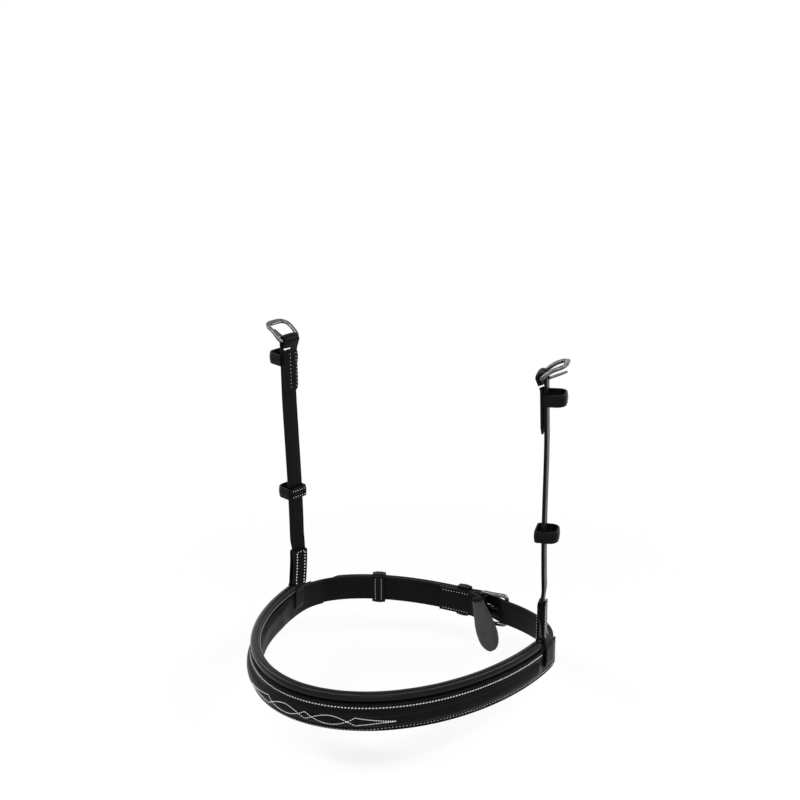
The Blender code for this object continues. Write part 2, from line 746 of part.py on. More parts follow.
def keeper_on_ring(run):
    """A keeper's placement on the ring: X outwards, Y up and Z back along the strap."""
    return upright(ring_matrix(run))


def make_rear_keepers():
    half = STRAP_WIDTH / 2 + SLIDING_GAP
    front = PLY_STEP + STRAP_FACE + SLIDING_GAP
    place = keeper_on_ring(REAR_FIXED_KEEPER_RUN)
    end, radius = front + KEEPER_THICKNESS, KEEPER_CORNER_RADIUS + KEEPER_THICKNESS / 2
    arched_keeper("rear_fixed_keeper", -PLY_STEP / 2, end, half, REAR_KEEPER_WIDTH, place, radius)
    space = (-STRAP_FACE - SLIDING_GAP, front, half)
    keeper("rear_running_keeper", space, REAR_KEEPER_WIDTH, keeper_on_ring(REAR_RUNNING_KEEPER_RUN))


def make_chin_guard():
    """A paddle that hangs on the inner side of the buckle, slanting towards +X."""
    name = "chin_guard"
    top, middle, tip = GUARD_TOP_HALF_WIDTH, GUARD_MIDDLE_HALF_WIDTH, GUARD_TIP_RADIUS
    end = arc((0, tip - GUARD_LENGTH), tip, math.pi, 2 * math.pi, GUARD_ARC_POINTS)
    waist = -GUARD_LENGTH * GUARD_MIDDLE_SHARE
    outline = [(-top, 0), (-middle, waist), *end, (middle, waist), (top, 0)]
    ring = ring_matrix(GUARD_RUN, GUARD_OUT, GUARD_TOP_Z)
    outward, along, up = (ring.col[index].to_3d() for index in range(3))
    placement = axes_matrix(ring.translation, along, up, outward) @ Matrix.Rotation(-GUARD_SLANT, 4, "Z")
    plate(name, [outline], GUARD_THICKNESS, suede(name), placement)


def hanger_matrix(side):
    """A hanger's placement: origin at its neck, X outwards, Y across it and Z up to its buckle bar."""
    outward = Vector((side * math.cos(HANGER_TWIST), math.sin(HANGER_TWIST), 0))
    plies = Vector((*ring_point(side * HANGER_RUN, LOOP_PLIES_OUT), NECK_HEIGHT))
    neck = plies + LOOP_PLY_HALF_STEP * outward
    top = Vector((side * HANGER_TOP[0], *HANGER_TOP[1:]))
    up = (top - neck).normalized()
    across = up.cross(outward).normalized()
    return axes_matrix(neck, across.cross(up), across, up), (top - neck).length


def hanger_line(share):
    """How far outwards the hanger's main ply lies at a share of the way up to its turned end."""
    chape = HANGER_PLY_HALF_STEP + HANGER_CHAPE_SHIFT
    return chape * smooth(share) + HANGER_BOW * math.sin(math.pi * share)


def band_sides(path, thickness):
    """The two sides of a band whose middle follows path."""
    points = [Vector(point) for point in path]
    left, right = [], []
    for index, point in enumerate(points):
        before = (point - points[max(index - 1, 0)]).normalized()
        after = (points[min(index + 1, len(points) - 1)] - point).normalized()
        heading = (before + after).normalized()
        widening = 1 / heading.dot(after if after.length else before)
        offset = Vector((-heading.y, heading.x)) * thickness / 2 * widening
        left.append(point + offset)
        right.append(point - offset)
    return left, right


def band_outline(path, thickness, start_points):
    """The outline of a band that follows path, with a half-round start and a square end."""
    left, right = band_sides(path, thickness)
    facing = math.atan2(path[1][1] - path[0][1], path[1][0] - path[0][0])
    start = arc(path[0], thickness / 2, facing + math.pi / 2, facing + 3 * math.pi / 2, start_points)
    return [*start, *right[1:], *reversed(left[1:])]


def make_hanger_loop(prefix, side):
    """A turn of strap through the nosepiece's slot; its two plies meet above and twist backwards."""
    name = f"{prefix}_hanger_loop"
    wall = LOOP_CLEARANCE + LOOP_THICKNESS / 2
    inner = STRAP_FACE + SEAT_GAP + LINING_THICKNESS + wall
    outer = COVER_OUTER + wall
    shoulder = STRAP_WIDTH / 2 + LOOP_SHOULDER_RISE
    closing = STRAP_WIDTH / 2 + LOOP_CLOSING_RISE
    top = NECK_HEIGHT - HANGER_THICKNESS / 2 - SEAT_GAP
    radius = LOOP_CORNER_RADIUS
    low_ply, high_ply = LOOP_PLIES_OUT - LOOP_PLY_HALF_STEP, LOOP_PLIES_OUT + LOOP_PLY_HALF_STEP
    corner_z = LOOP_SLOT_Z + radius
    path = [(low_ply, top), (low_ply, closing), (-inner, shoulder)]
    path += arc((radius - inner, corner_z), radius, math.pi, 3 * math.pi / 2, LOOP_CORNER_POINTS)
    path += arc((outer - radius, corner_z), radius, 3 * math.pi / 2, 2 * math.pi, LOOP_CORNER_POINTS)
    path += [(outer, shoulder), (high_ply, closing), (high_ply, top)]
    tangent = ring_tangent(side * HANGER_RUN)
    level = math.atan2(-tangent.x, tangent.y) if side > 0 else math.atan2(tangent.x, -tangent.y)
    full_twist = side * HANGER_TWIST - level
    half = HANGER_WIDTH / 2
    sections = []
    for (_, height), left, right in zip(path, *band_sides(path, LOOP_THICKNESS)):
        share = smooth((height - shoulder) / (closing - shoulder))
        turn = Matrix.Rotation(share * full_twist, 4, "Z")
        corners = ((left, half), (right, half), (right, -half), (left, -half))
        section = []
        for point, y in corners:
            turned = turn @ Vector((point.x - LOOP_PLIES_OUT, y, point.y))
            section.append((turned.x + LOOP_PLIES_OUT, turned.y, turned.z))
        sections.append(section)
    loop = loft(name, sections, leather(name))
    loop.matrix_world = ring_matrix(side * HANGER_RUN)
    round_edges(loop)


def make_hanger_strap(prefix, side):
    """The upright strap, its top turned round the buckle's bar and slotted for the tongue."""
    name = f"{prefix}_hanger_strap"
    matrix, length = hanger_matrix(side)
    straight = length - HANGER_CHAPE_LENGTH
    path = []
    for share in np.linspace(0, 1, HANGER_SEGMENTS):
        path.append((hanger_line(share), straight * share))
    outer_ply = HANGER_CHAPE_SHIFT + HANGER_PLY_HALF_STEP
    inner_ply = HANGER_CHAPE_SHIFT - HANGER_PLY_HALF_STEP
    path.append((outer_ply, length - FLARE_LENGTH))
    path += arc((0, length), HANGER_FOLD_RADIUS, 0, math.pi, FOLD_POINTS)
    path.append((inner_ply, length - FLARE_LENGTH))
    path.append((inner_ply, straight + HANGER_THICKNESS))
    outline = band_outline(path, HANGER_THICKNESS, NECK_END_POINTS)
    hanger = to_mesh(plate(name, [outline], HANGER_WIDTH, leather(name), upright(matrix)))
    reach = HANGER_FOLD_RADIUS + HANGER_THICKNESS / 2 + OVERRUN
    slot = (2 * reach, 2 * (HANGER_TONGUE_RADIUS + SLOT_SIDE_GAP), reach + SLOT_DEPTH)
    shift = Matrix.Translation((0, 0, length + (reach - SLOT_DEPTH) / 2))
    cut(hanger, box_cutter(f"{name}_slot", slot, matrix @ shift))
    round_edges(hanger)


def make_hanger_fittings(prefix, side):
    matrix, length = hanger_matrix(side)
    bar = matrix @ Matrix.Translation((0, 0, length))
    name = f"{prefix}_hanger_buckle_frame"
    leaning = tilted(bar, FRAME_LEAN)
    make_buckle_frame(
        name, HANGER_WIDTH, HANGER_WIRE_RADIUS, HANGER_FRAME_LENGTH, leaning, HANGER_FAR_BAR_SHARE
    )
    name = f"{prefix}_hanger_buckle_tongue"
    make_tongue(name, HANGER_WIRE_RADIUS, HANGER_TONGUE_RADIUS, HANGER_FRAME_LENGTH, tilted(bar, TONGUE_LEAN))

    half = HANGER_WIDTH / 2 + SLIDING_GAP
    place = matrix @ Matrix.Translation((0, 0, length - HANGER_FIXED_KEEPER_DROP))
    name = f"{prefix}_hanger_fixed_keeper"
    reach, width = HANGER_FIXED_KEEPER_REACH, HANGER_KEEPER_WIDTH
    arched_keeper(name, HANGER_CHAPE_SHIFT, reach, half, width, place, KEEPER_ARCH_RADIUS)
    name = f"{prefix}_hanger_running_keeper"
    back = -HANGER_THICKNESS / 2 - HANGER_RUNNING_KEEPER_SLACK
    space = (back, HANGER_RUNNING_KEEPER_REACH - KEEPER_THICKNESS, half)
    keeper(name, space, HANGER_KEEPER_WIDTH, running_keeper_matrix(side), KEEPER_ARCH_RADIUS)


def running_keeper_matrix(side):
    """The running keeper's placement: centred in the strap, with Z along the strap there."""
    matrix, length = hanger_matrix(side)
    straight = length - HANGER_CHAPE_LENGTH
    height = length - (LEFT_RUNNING_KEEPER_DROP if side > 0 else RIGHT_RUNNING_KEEPER_DROP)
    step = HANGER_KEEPER_WIDTH
    below, above = (hanger_line((height + offset) / straight) for offset in (-step, step))
    centre = matrix @ Matrix.Translation((hanger_line(height / straight), 0, height))
    return tilted(centre, math.atan2(above - below, 2 * step))


def main():
    make_nosepiece()
    make_rolled_edge()
    make_stitching()
    make_buckle_strap()
    make_billet()
    make_rear_buckle()
    make_rear_keepers()
    make_chin_guard()
    for prefix, side in (("left", 1), ("right", -1)):
        make_hanger_loop(prefix, side)
        make_hanger_strap(prefix, side)
        make_hanger_fittings(prefix, side)


main()
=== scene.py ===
"""Looks of an English bridle noseband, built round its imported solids.

The nosepiece is a padded, raised strap with a rolled top edge, white stitching and a soft lining. A
jaw strap closes it behind the jaw with a buckle, two keepers and a chin guard, and a hanger stands up
from each side with its own buckle, fixed keeper and running keeper. Everything is in metres in the
row frame: +Z up the face, -Y the front of the nose, +X the horse's left.

Every strap starts as straight stock, whose X runs along it, Y through its thickness and Z across its
width. It is trimmed and shaped while straight, and is then bent along the line that it follows.
"""

import logging
import math
from collections.abc import Callable, Iterable, Sequence
from dataclasses import dataclass, field
from enum import Enum, StrEnum
from typing import ClassVar

import bmesh
import bpy
import numpy as np
from mathutils import Matrix, Vector

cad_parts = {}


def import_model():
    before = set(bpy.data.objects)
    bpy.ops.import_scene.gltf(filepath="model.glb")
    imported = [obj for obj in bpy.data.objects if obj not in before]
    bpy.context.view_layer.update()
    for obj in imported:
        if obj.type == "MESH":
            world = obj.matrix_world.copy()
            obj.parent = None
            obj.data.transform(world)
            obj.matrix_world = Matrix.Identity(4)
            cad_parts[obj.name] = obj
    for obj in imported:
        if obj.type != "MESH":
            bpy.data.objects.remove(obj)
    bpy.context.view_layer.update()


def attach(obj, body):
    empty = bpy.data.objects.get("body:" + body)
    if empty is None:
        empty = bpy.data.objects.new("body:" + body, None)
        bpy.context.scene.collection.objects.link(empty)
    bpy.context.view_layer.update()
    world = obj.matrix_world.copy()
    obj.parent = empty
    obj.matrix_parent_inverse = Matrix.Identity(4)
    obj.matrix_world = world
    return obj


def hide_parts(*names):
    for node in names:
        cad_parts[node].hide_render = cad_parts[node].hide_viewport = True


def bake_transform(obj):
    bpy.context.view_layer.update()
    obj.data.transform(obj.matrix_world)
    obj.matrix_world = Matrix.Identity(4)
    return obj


LOG = logging.getLogger("noseband")

MM = 0.001
SEAT_GAP = 0.3 * MM
SLIDING_GAP = 0.6 * MM

Array = np.ndarray
Piece = bpy.types.Object
Outline = Sequence[tuple[float, float]]
Shape = Callable[[Array], Array]
Path = Callable[[Array], tuple[Array, Array]]


class Side(Enum):
    """The horse's two sides, with the sign of X on each."""

    LEFT = 1
    RIGHT = -1

    @property
    def prefix(self) -> str:
        """The word that starts this side's node names."""
        return self.name.lower()


class Body(StrEnum):
    """The rigid bodies that belong to neither side alone."""

    NOSEBAND = "noseband"
    REAR_KEEPER = "rear_running_keeper"
    GUARD = "chin_guard"


class Slot(StrEnum):
    """The record's material slots, one for each finish."""

    BRIDLE = "bridle_leather"
    ROLL = "roll_leather"
    LINING = "lining_leather"
    SUEDE = "suede"
    THREAD = "thread"
    STEEL = "steel"
    FOAM = "padding"


# Colours and finishes


def srgb(code: str) -> tuple[float, float, float, float]:
    """Turn an sRGB hex colour into linear RGBA.

    Args:
        code: A colour such as "1a1a1c".

    Returns:
        The linear colour with full alpha.
    """
    channels = [int(code[index : index + 2], 16) / 255 for index in (0, 2, 4)]
    linear = [c / 12.92 if c <= 0.04045 else ((c + 0.055) / 1.055) ** 2.4 for c in channels]
    return (*linear, 1.0)


def set_inputs(tree: bpy.types.NodeTree, node: bpy.types.Node, inputs: dict[str | int, object]) -> None:
    """Fill a node's inputs.

    Args:
        tree: The tree that the node is in.
        node: The node.
        inputs: Values by the input's name or index; an output socket is linked instead.
    """
    for key, value in inputs.items():
        if isinstance(value, bpy.types.NodeSocket):
            tree.links.new(value, node.inputs[key])
        else:
            node.inputs[key].default_value = value


def add_node(
    tree: bpy.types.NodeTree,
    kind: str,
    inputs: dict[str | int, object] | None = None,
    stops: Sequence[tuple[float, str]] = (),
    **settings: object,
) -> bpy.types.Node:
    """Add a node, set it up and link it.

    Args:
        tree: The material's or world's node tree.
        kind: The node's type name, without the ShaderNode that it starts with.
        inputs: As in set_inputs.
        stops: The positions and hex colours of a colour ramp, in order.
        settings: Attribute values of the node.

    Returns:
        The new node.
    """
    made = tree.nodes.new(f"ShaderNode{kind}")
    for attribute, value in settings.items():
        setattr(made, attribute, value)
    for index, (position, code) in enumerate(stops):
        elements = made.color_ramp.elements
        element = elements[index] if index < len(elements) else elements.new(position)
        element.position, element.color = position, srgb(code)
    set_inputs(tree, made, inputs or {})
    return made


@dataclass(frozen=True)
class Finish:
    """A finish of one real material: the Principled shader's inputs, from a pattern in real sizes."""

    name: str
    coordinate: ClassVar[str] = "Object"

    def inputs(self, tree: bpy.types.NodeTree, place: bpy.types.NodeSocket) -> dict[str | int, object]:
        """What the Principled shader's inputs are.

        Args:
            tree: The material's node tree, to which the pattern's nodes are added.
            place: The coordinates that the pattern reads, in metres.

        Returns:
            Values and output sockets by the input's name.
        """
        raise NotImplementedError

    def make(self) -> bpy.types.Material:
        """Make the material.

        Returns:
            The material, named for this finish.
        """
        material = bpy.data.materials.new(self.name)
        material.use_nodes = True
        tree = material.node_tree
        place = add_node(tree, "TexCoord").outputs[self.coordinate]
        set_inputs(tree, tree.nodes["Principled BSDF"], self.inputs(tree, place))
        return material


@dataclass(frozen=True)
class Leather(Finish):
    """Dyed and waxed cowhide, curried smooth: a tight pebble, dulled in patches by handling.

    The grain is a cell pattern with a finer noise in it, drawn coarser than hide's own so that it
    shows. The wax leaves it glossier on the crests than in the valleys.
    """

    dark: str = "050506"
    light: str = "0f0f10"
    roughness: float = 0.30
    shine: float = 0.06
    grain_size: float = 0.75 * MM
    grain_depth: float = 0.16
    crease_depth: float = 0.10
    patch_size: float = 14 * MM
    crease_size: float = 5 * MM

    def inputs(self, tree: bpy.types.NodeTree, place: bpy.types.NodeSocket) -> dict[str | int, object]:
        """Pebble, pores and creases over two close blacks.

        Args:
            tree: As in Finish.
            place: As in Finish.

        Returns:
            As in Finish.
        """
        cells = add_node(
            tree, "TexVoronoi", {"Vector": place, "Scale": 1 / self.grain_size}, feature="DISTANCE_TO_EDGE"
        ).outputs["Distance"]
        fine_grain = {"Vector": place, "Scale": 2.5 / self.grain_size, "Detail": 4.0, "Roughness": 0.6}
        fine = add_node(tree, "TexNoise", fine_grain).outputs["Fac"]
        patches = {"Vector": place, "Scale": 1 / self.patch_size, "Detail": 3.0}
        handling = add_node(tree, "TexNoise", patches).outputs["Fac"]
        ridges = {"Vector": place, "Scale": 1 / self.crease_size, "Detail": 4.0}
        creases = add_node(tree, "TexNoise", ridges, noise_type="RIDGED_MULTIFRACTAL").outputs["Fac"]
        edges = {"Value": cells, "From Min": 0.0, "From Max": 0.18}
        valleys = add_node(tree, "MapRange", edges, interpolation_type="SMOOTHSTEP").outputs["Result"]
        blacks = {"Factor": handling, 6: srgb(self.dark), 7: srgb(self.light)}
        colour = add_node(tree, "Mix", blacks, data_type="RGBA").outputs[2]
        wax = {"Value": handling, "From Min": 0.3, "From Max": 0.7}
        wax |= {"To Min": self.roughness - 0.07, "To Max": self.roughness + 0.09}
        gloss = add_node(tree, "MapRange", wax).outputs["Result"]
        dull = add_node(tree, "Math", {0: fine, 1: 0.10, 2: gloss}, operation="MULTIPLY_ADD").outputs["Value"]
        normal = None
        for height, strength, depth in (
            (valleys, self.grain_depth, 0.06 * MM),
            (fine, self.grain_depth, 0.05 * MM),
            (creases, self.crease_depth, 0.25 * MM),
        ):
            relief = {"Height": height, "Strength": strength, "Distance": depth}
            relief |= {"Normal": normal} if normal is not None else {}
            normal = add_node(tree, "Bump", relief).outputs["Normal"]
        shader = {"Base Color": colour, "Roughness": dull, "Normal": normal}
        return shader | {"IOR": 1.5, "Specular IOR Level": self.shine}


@dataclass(frozen=True)
class Suede(Finish):
    """The hide's flesh side, sanded to a nap: dull, soft at its rims and clouded where it was brushed."""

    dark: str = "1b1b1c"
    light: str = "2e2e2f"
    nap_size: float = 0.35 * MM
    cloud_size: float = 7 * MM

    def inputs(self, tree: bpy.types.NodeTree, place: bpy.types.NodeSocket) -> dict[str | int, object]:
        """A fine nap under slow clouds, with a sheen at grazing angles.

        Args:
            tree: As in Finish.
            place: As in Finish.

        Returns:
            As in Finish.
        """
        fibres = {"Vector": place, "Scale": 1 / self.nap_size, "Detail": 5.0, "Roughness": 0.75}
        nap = add_node(tree, "TexNoise", fibres).outputs["Fac"]
        clouds = {"Vector": place, "Scale": 1 / self.cloud_size, "Detail": 3.0}
        cloud = add_node(tree, "TexNoise", clouds).outputs["Fac"]
        blend = add_node(tree, "Math", {0: nap, 1: 0.5, 2: cloud}, operation="MULTIPLY_ADD").outputs["Value"]
        colour = add_node(tree, "ValToRGB", {"Fac": blend}, ((0.45, self.dark), (1.05, self.light)))
        fuzz = add_node(tree, "Bump", {"Height": nap, "Strength": 0.45, "Distance": 0.12 * MM})
        shader = {"Base Color": colour.outputs["Color"], "Normal": fuzz.outputs["Normal"], "Roughness": 0.92}
        return shader | {"Sheen Weight": 0.35, "Sheen Roughness": 0.45}


@dataclass(frozen=True)
class Thread(Finish):
    """Waxed polyester thread, laid from twisted plies: white, with soft shade painted between the plies.

    The plies wind round each stitch's own UV map.
    """

    coordinate: ClassVar[str] = "UV"
    crest: str = "fbfbf9"
    valley: str = "e6e5e1"
    lay_length: float = 0.42 * MM

    def inputs(self, tree: bpy.types.NodeTree, place: bpy.types.NodeSocket) -> dict[str | int, object]:
        """Slanted bands along each stitch, darker between the plies as painted shade.

        Args:
            tree: As in Finish.
            place: As in Finish.

        Returns:
            As in Finish.
        """
        # a band's length is a twentieth of the wave node's scale
        lay = {"Vector": place, "Scale": 1 / (self.lay_length * 20), "Distortion": 0.6}
        plies = add_node(tree, "TexWave", lay, wave_type="BANDS", bands_direction="DIAGONAL").outputs["Fac"]
        # painted shade: the colour falls from the thread's white at the crest to a darker tone between the
        # plies
        colour = add_node(tree, "ValToRGB", {"Fac": plies}, ((0.0, self.valley), (0.55, self.crest)))
        twist = add_node(tree, "Bump", {"Height": plies, "Strength": 0.5, "Distance": 0.08 * MM})
        shader = {"Base Color": colour.outputs["Color"], "Normal": twist.outputs["Normal"]}
        return shader | {"Roughness": 0.62, "Sheen Weight": 0.15}


@dataclass(frozen=True)
class Steel(Finish):
    """Polished stainless wire, coloured darker than steel as painted dark reflection: mirror-like, with fine
    rubbing marks and a duller film in places.

    The marks are drawn coarser than real ones, because finer ones would only glitter in the render.
    """

    # painted dark reflection: both colours are far darker than stainless steel's own, so that the white room
    # reflects dimly in the wire
    colour: str = "6c6c6b"
    shade: str = "484848"
    roughness: float = 0.15
    film_size: float = 3 * MM
    mark_size: float = 4 * MM

    def inputs(self, tree: bpy.types.NodeTree, place: bpy.types.NodeSocket) -> dict[str | int, object]:
        """A clouded film in the colour, with marks in the gloss.

        Args:
            tree: As in Finish.
            place: As in Finish.

        Returns:
            As in Finish.
        """
        clouds = {"Vector": place, "Scale": 1 / self.film_size, "Detail": 3.0}
        film = add_node(tree, "TexNoise", clouds).outputs["Fac"]
        drawn = add_node(tree, "Mapping", {"Vector": place, "Scale": (1.0, 1.0, 2.0)}).outputs["Vector"]
        rubbing = {"Vector": drawn, "Scale": 1 / self.mark_size, "Detail": 3.0}
        marks = add_node(tree, "TexNoise", rubbing).outputs["Fac"]
        colour = add_node(tree, "ValToRGB", {"Fac": film}, ((0.3, self.shade), (0.7, self.colour)))
        gloss = {"Value": marks, "From Min": 0.35, "From Max": 0.75}
        gloss |= {"To Min": self.roughness, "To Max": self.roughness + 0.07}
        dull = add_node(tree, "MapRange", gloss)
        scratch = add_node(tree, "Bump", {"Height": marks, "Strength": 0.04, "Distance": 0.02 * MM})
        shader = {"Base Color": colour.outputs["Color"], "Roughness": dull.outputs["Result"]}
        return shader | {"Normal": scratch.outputs["Normal"], "Metallic": 1.0}


@dataclass(frozen=True)
class Foam(Finish):
    """Open-cell foam, cut from a block: cream, with fine pores whose insides carry painted shade."""

    light: str = "e3dcc4"
    dark: str = "b7ad8e"
    pore_size: float = 0.5 * MM

    def inputs(self, tree: bpy.types.NodeTree, place: bpy.types.NodeSocket) -> dict[str | int, object]:
        """Round pores, darker inside as painted shade.

        Args:
            tree: As in Finish.
            place: As in Finish.

        Returns:
            As in Finish.
        """
        cells = {"Vector": place, "Scale": 1 / self.pore_size}
        pores = add_node(tree, "TexVoronoi", cells).outputs["Distance"]
        # painted shade: each pore is coloured darker towards its middle, as the shade in its hollow
        colour = add_node(tree, "ValToRGB", {"Fac": pores}, ((0.1, self.dark), (0.6, self.light)))
        hollows = add_node(tree, "Bump", {"Height": pores, "Strength": 0.6, "Distance": 0.2 * MM})
        shader = {"Base Color": colour.outputs["Color"], "Normal": hollows.outputs["Normal"]}
        return shader | {"Roughness": 0.95}


ROLLED_HIDE = Leather(
    "soft_rolled_leather", roughness=0.15, shine=0.12, grain_size=0.9 * MM, grain_depth=0.12, crease_depth=0.2
)
LINING_HIDE = Leather(
    "matt_lining_leather", dark="080809", light="141416", roughness=0.44, grain_size=1.0 * MM
)
FINISHES: dict[Slot, Finish] = {
    Slot.BRIDLE: Leather("waxed_bridle_leather"),
    Slot.ROLL: ROLLED_HIDE,
    Slot.LINING: LINING_HIDE,
    Slot.SUEDE: Suede("napped_suede"),
    Slot.THREAD: Thread("waxed_white_thread"),
    Slot.STEEL: Steel("polished_stainless_steel"),
    Slot.FOAM: Foam("open_cell_foam"),
}


# Straight stock


def deselect_all() -> None:
    """Leave nothing selected, with Blender in object mode."""
    if bpy.context.mode != "OBJECT":
        bpy.ops.object.mode_set(mode="OBJECT")
    bpy.ops.object.select_all(action="DESELECT")


def pick(piece: Piece) -> None:
    """Select this piece alone and make it the active one.

    Args:
        piece: The piece.
    """
    deselect_all()
    bpy.context.view_layer.objects.active = piece
    piece.select_set(True)


def coordinates(piece: Piece) -> Array:
    """The piece's vertex positions, one row each.

    Args:
        piece: The piece.

    Returns:
        The positions.
    """
    flat = np.empty(len(piece.data.vertices) * 3)
    piece.data.vertices.foreach_get("co", flat)
    return flat.reshape(-1, 3)


def set_coordinates(piece: Piece, places: Array) -> None:
    """Move the piece's vertices to new positions."""
    piece.data.vertices.foreach_set("co", places.astype(np.float32).ravel())
    piece.data.update()


def edit(piece: Piece) -> bmesh.types.BMesh:
    """Open the piece for editing, with nothing in it selected.

    Args:
        piece: The mesh object.

    Returns:
        The mesh that edit mode works on.
    """
    pick(piece)
    bpy.ops.object.mode_set(mode="EDIT")
    bpy.ops.mesh.select_mode(type="EDGE")
    bpy.ops.mesh.select_all(action="DESELECT")
    return bmesh.from_edit_mesh(piece.data)


def select_edges(piece: Piece, mesh: bmesh.types.BMesh, wanted: Callable[[bmesh.types.BMEdge], bool]) -> None:
    """Select the edges of an open piece that a test picks.

    Args:
        piece: The piece in edit mode.
        mesh: Its edit mesh.
        wanted: Whether an edge is picked.
    """
    for edge in mesh.edges:
        edge.select_set(wanted(edge))
    bmesh.update_edit_mesh(piece.data)


def runs_along_stock(edge: bmesh.types.BMEdge) -> bool:
    """Whether an edge lies along the stock's X."""
    way = edge.verts[1].co - edge.verts[0].co
    return abs(way.x) > 10 * max(abs(way.y), abs(way.z))


def divide_lengthwise(piece: Piece, parts: int) -> None:
    """Cut the stock across into at least this many equal parts, in two passes of the same cut.

    Args:
        piece: Straight stock.
        parts: The least number of parts.
    """
    first = max(2, round(math.sqrt(parts)))
    for number in (first, math.ceil(parts / first)):
        if number < 2:
            continue
        mesh = edit(piece)
        select_edges(piece, mesh, runs_along_stock)
        bpy.ops.mesh.subdivide(number_cuts=number - 1)
    bpy.ops.object.mode_set(mode="OBJECT")


def profile_stock(name: str, profile: Outline, length: float, parts: int) -> Piece:
    """Straight stock of one section: a disc drawn to the profile, extruded along X and cut across.

    Args:
        name: The piece's name.
        profile: The section's outline as (through, across) points.
        length: The stock's length.
        parts: How many parts it is cut into along its length.

    Returns:
        The stock, from X = 0 to its length.
    """
    deselect_all()
    bpy.ops.mesh.primitive_circle_add(vertices=len(profile), radius=1.0, fill_type="NGON")
    piece = bpy.context.object
    piece.name = name
    piece.data.name = name
    for vertex, (through, across) in zip(piece.data.vertices, profile):
        vertex.co = (0.0, through, across)
    edit(piece)
    bpy.ops.mesh.select_all(action="SELECT")
    bpy.ops.mesh.extrude_region_move(TRANSFORM_OT_translate={"value": (length, 0.0, 0.0)})
    bpy.ops.object.mode_set(mode="OBJECT")
    divide_lengthwise(piece, parts)
    return piece


def rounded_section(
    thickness: float,
    width: float,
    rounding: float,
    across_cuts: int = 6,
    corner_cuts: int = 3,
    crease: float = 0.0,
) -> Outline:
    """The section of a flat strap with rounded edges.

    Args:
        thickness: The strap's thickness.
        width: The strap's width.
        rounding: The radius of its edges.
        across_cuts: How many parts each face is cut into across its width.
        corner_cuts: How many parts each rounded edge has.
        crease: How deep a line is tooled along each edge of each face.

    Returns:
        The outline as (through, across) points.
    """
    if crease > 0:
        return creased_section(thickness, width, rounding, crease)
    half_t, half_w = thickness / 2, width / 2
    rounding = min(rounding, 0.98 * half_t, 0.98 * half_w)
    corners = ((1, 1, 0.0), (-1, 1, 90.0), (-1, -1, 180.0), (1, -1, 270.0))
    points: list[tuple[float, float]] = []
    for side_t, side_w, start in corners:
        centre = (side_t * (half_t - rounding), side_w * (half_w - rounding))
        for index in range(corner_cuts + 1):
            angle = math.radians(start + 90 * index / corner_cuts)
            points.append((centre[0] + rounding * math.cos(angle), centre[1] + rounding * math.sin(angle)))
        if start in (90.0, 270.0):
            begin, end = points[-1], (points[-1][0], -points[-1][1])
            for index in range(1, across_cuts):
                points.append((begin[0], begin[1] + (end[1] - begin[1]) * index / across_cuts))
    return points


def creased_section(
    thickness: float, width: float, rounding: float, crease: float, inset: float = 1.7 * MM
) -> Outline:
    """A flat strap's section with a tooled line along each edge of each face, as rounded_section has it.

    Args:
        thickness: As in rounded_section.
        width: As in rounded_section.
        rounding: As in rounded_section.
        crease: As in rounded_section.
        inset: How far in from the strap's edge each line is.

    Returns:
        The outline as (through, across) points.
    """
    half_t, half_w = thickness / 2, width / 2
    rounding = min(rounding, 0.98 * half_t)
    face = []
    for side in (1, -1):
        line = half_w - inset
        steps = [(half_w - rounding, 0.0), (line + 0.3 * MM, 0.0), (line, crease), (line - 0.3 * MM, 0.0)]
        steps = steps if side > 0 else steps[::-1]
        face += [(side * across, half_t - depth) for across, depth in steps]
        if side > 0:
            face += [(line * share, half_t) for share in (0.5, 0.0, -0.5)]
    top = [(through, across) for across, through in face]
    down = [(-through, -across) for through, across in top]
    corner = [math.radians(90 * share / 3) for share in (1, 2)]
    middle_t, middle_w = half_t - rounding, half_w - rounding
    low = [(middle_t + rounding * math.cos(a), -middle_w - rounding * math.sin(a)) for a in corner]
    low.append((middle_t, -half_w))
    low += [(-middle_t, -half_w)]
    low += [(-middle_t - rounding * math.sin(a), -middle_w - rounding * math.cos(a)) for a in corner]
    high = [(-through, -across) for through, across in low]
    return top + low + down + high


def round_section(radius: float, sides: int = 20, flatten: float = 1.0) -> Outline:
    """The section of a round wire, cord or roll, thinned through its thickness by flatten."""
    turns = [2 * math.pi * index / sides for index in range(sides)]
    return [(radius * flatten * math.cos(turn), radius * math.sin(turn)) for turn in turns]


# Lines that stock is bent along


def unit(vectors: Array) -> Array:
    """The vectors at length one."""
    return vectors / np.linalg.norm(vectors, axis=-1, keepdims=True)


def distances(places: Array) -> Array:
    """How far along its path each point is."""
    return np.concatenate(([0.0], np.cumsum(np.linalg.norm(np.diff(places, axis=0), axis=1))))


def evened(
    path: Sequence[Sequence[float]] | Array, count: int, weights: Sequence[int] = (1,), held: int = 0
) -> tuple[Array, Array]:
    """Space a path's points evenly, and ease its turns where weights are given.

    Args:
        path: The points in order.
        count: How many points it gets.
        weights: How much each neighbour counts in an eased point.
        held: How many points at each end aren't eased.

    Returns:
        The new points, and how far along the path each one is.
    """
    places = np.array(path, float)
    lengths = distances(places)
    samples = np.linspace(0, lengths[-1], count)
    even = np.stack([np.interp(samples, lengths, column) for column in places.T], axis=1)
    if held:
        reach = len(weights) // 2
        padded = np.pad(even, ((reach, reach), (0, 0)), mode="edge")
        kernel = np.array(weights) / sum(weights)
        eased = np.stack([np.convolve(column, kernel, "valid") for column in padded.T], axis=1)
        eased[:held], eased[-held:] = even[:held], even[-held:]
        even = eased
    return even, samples


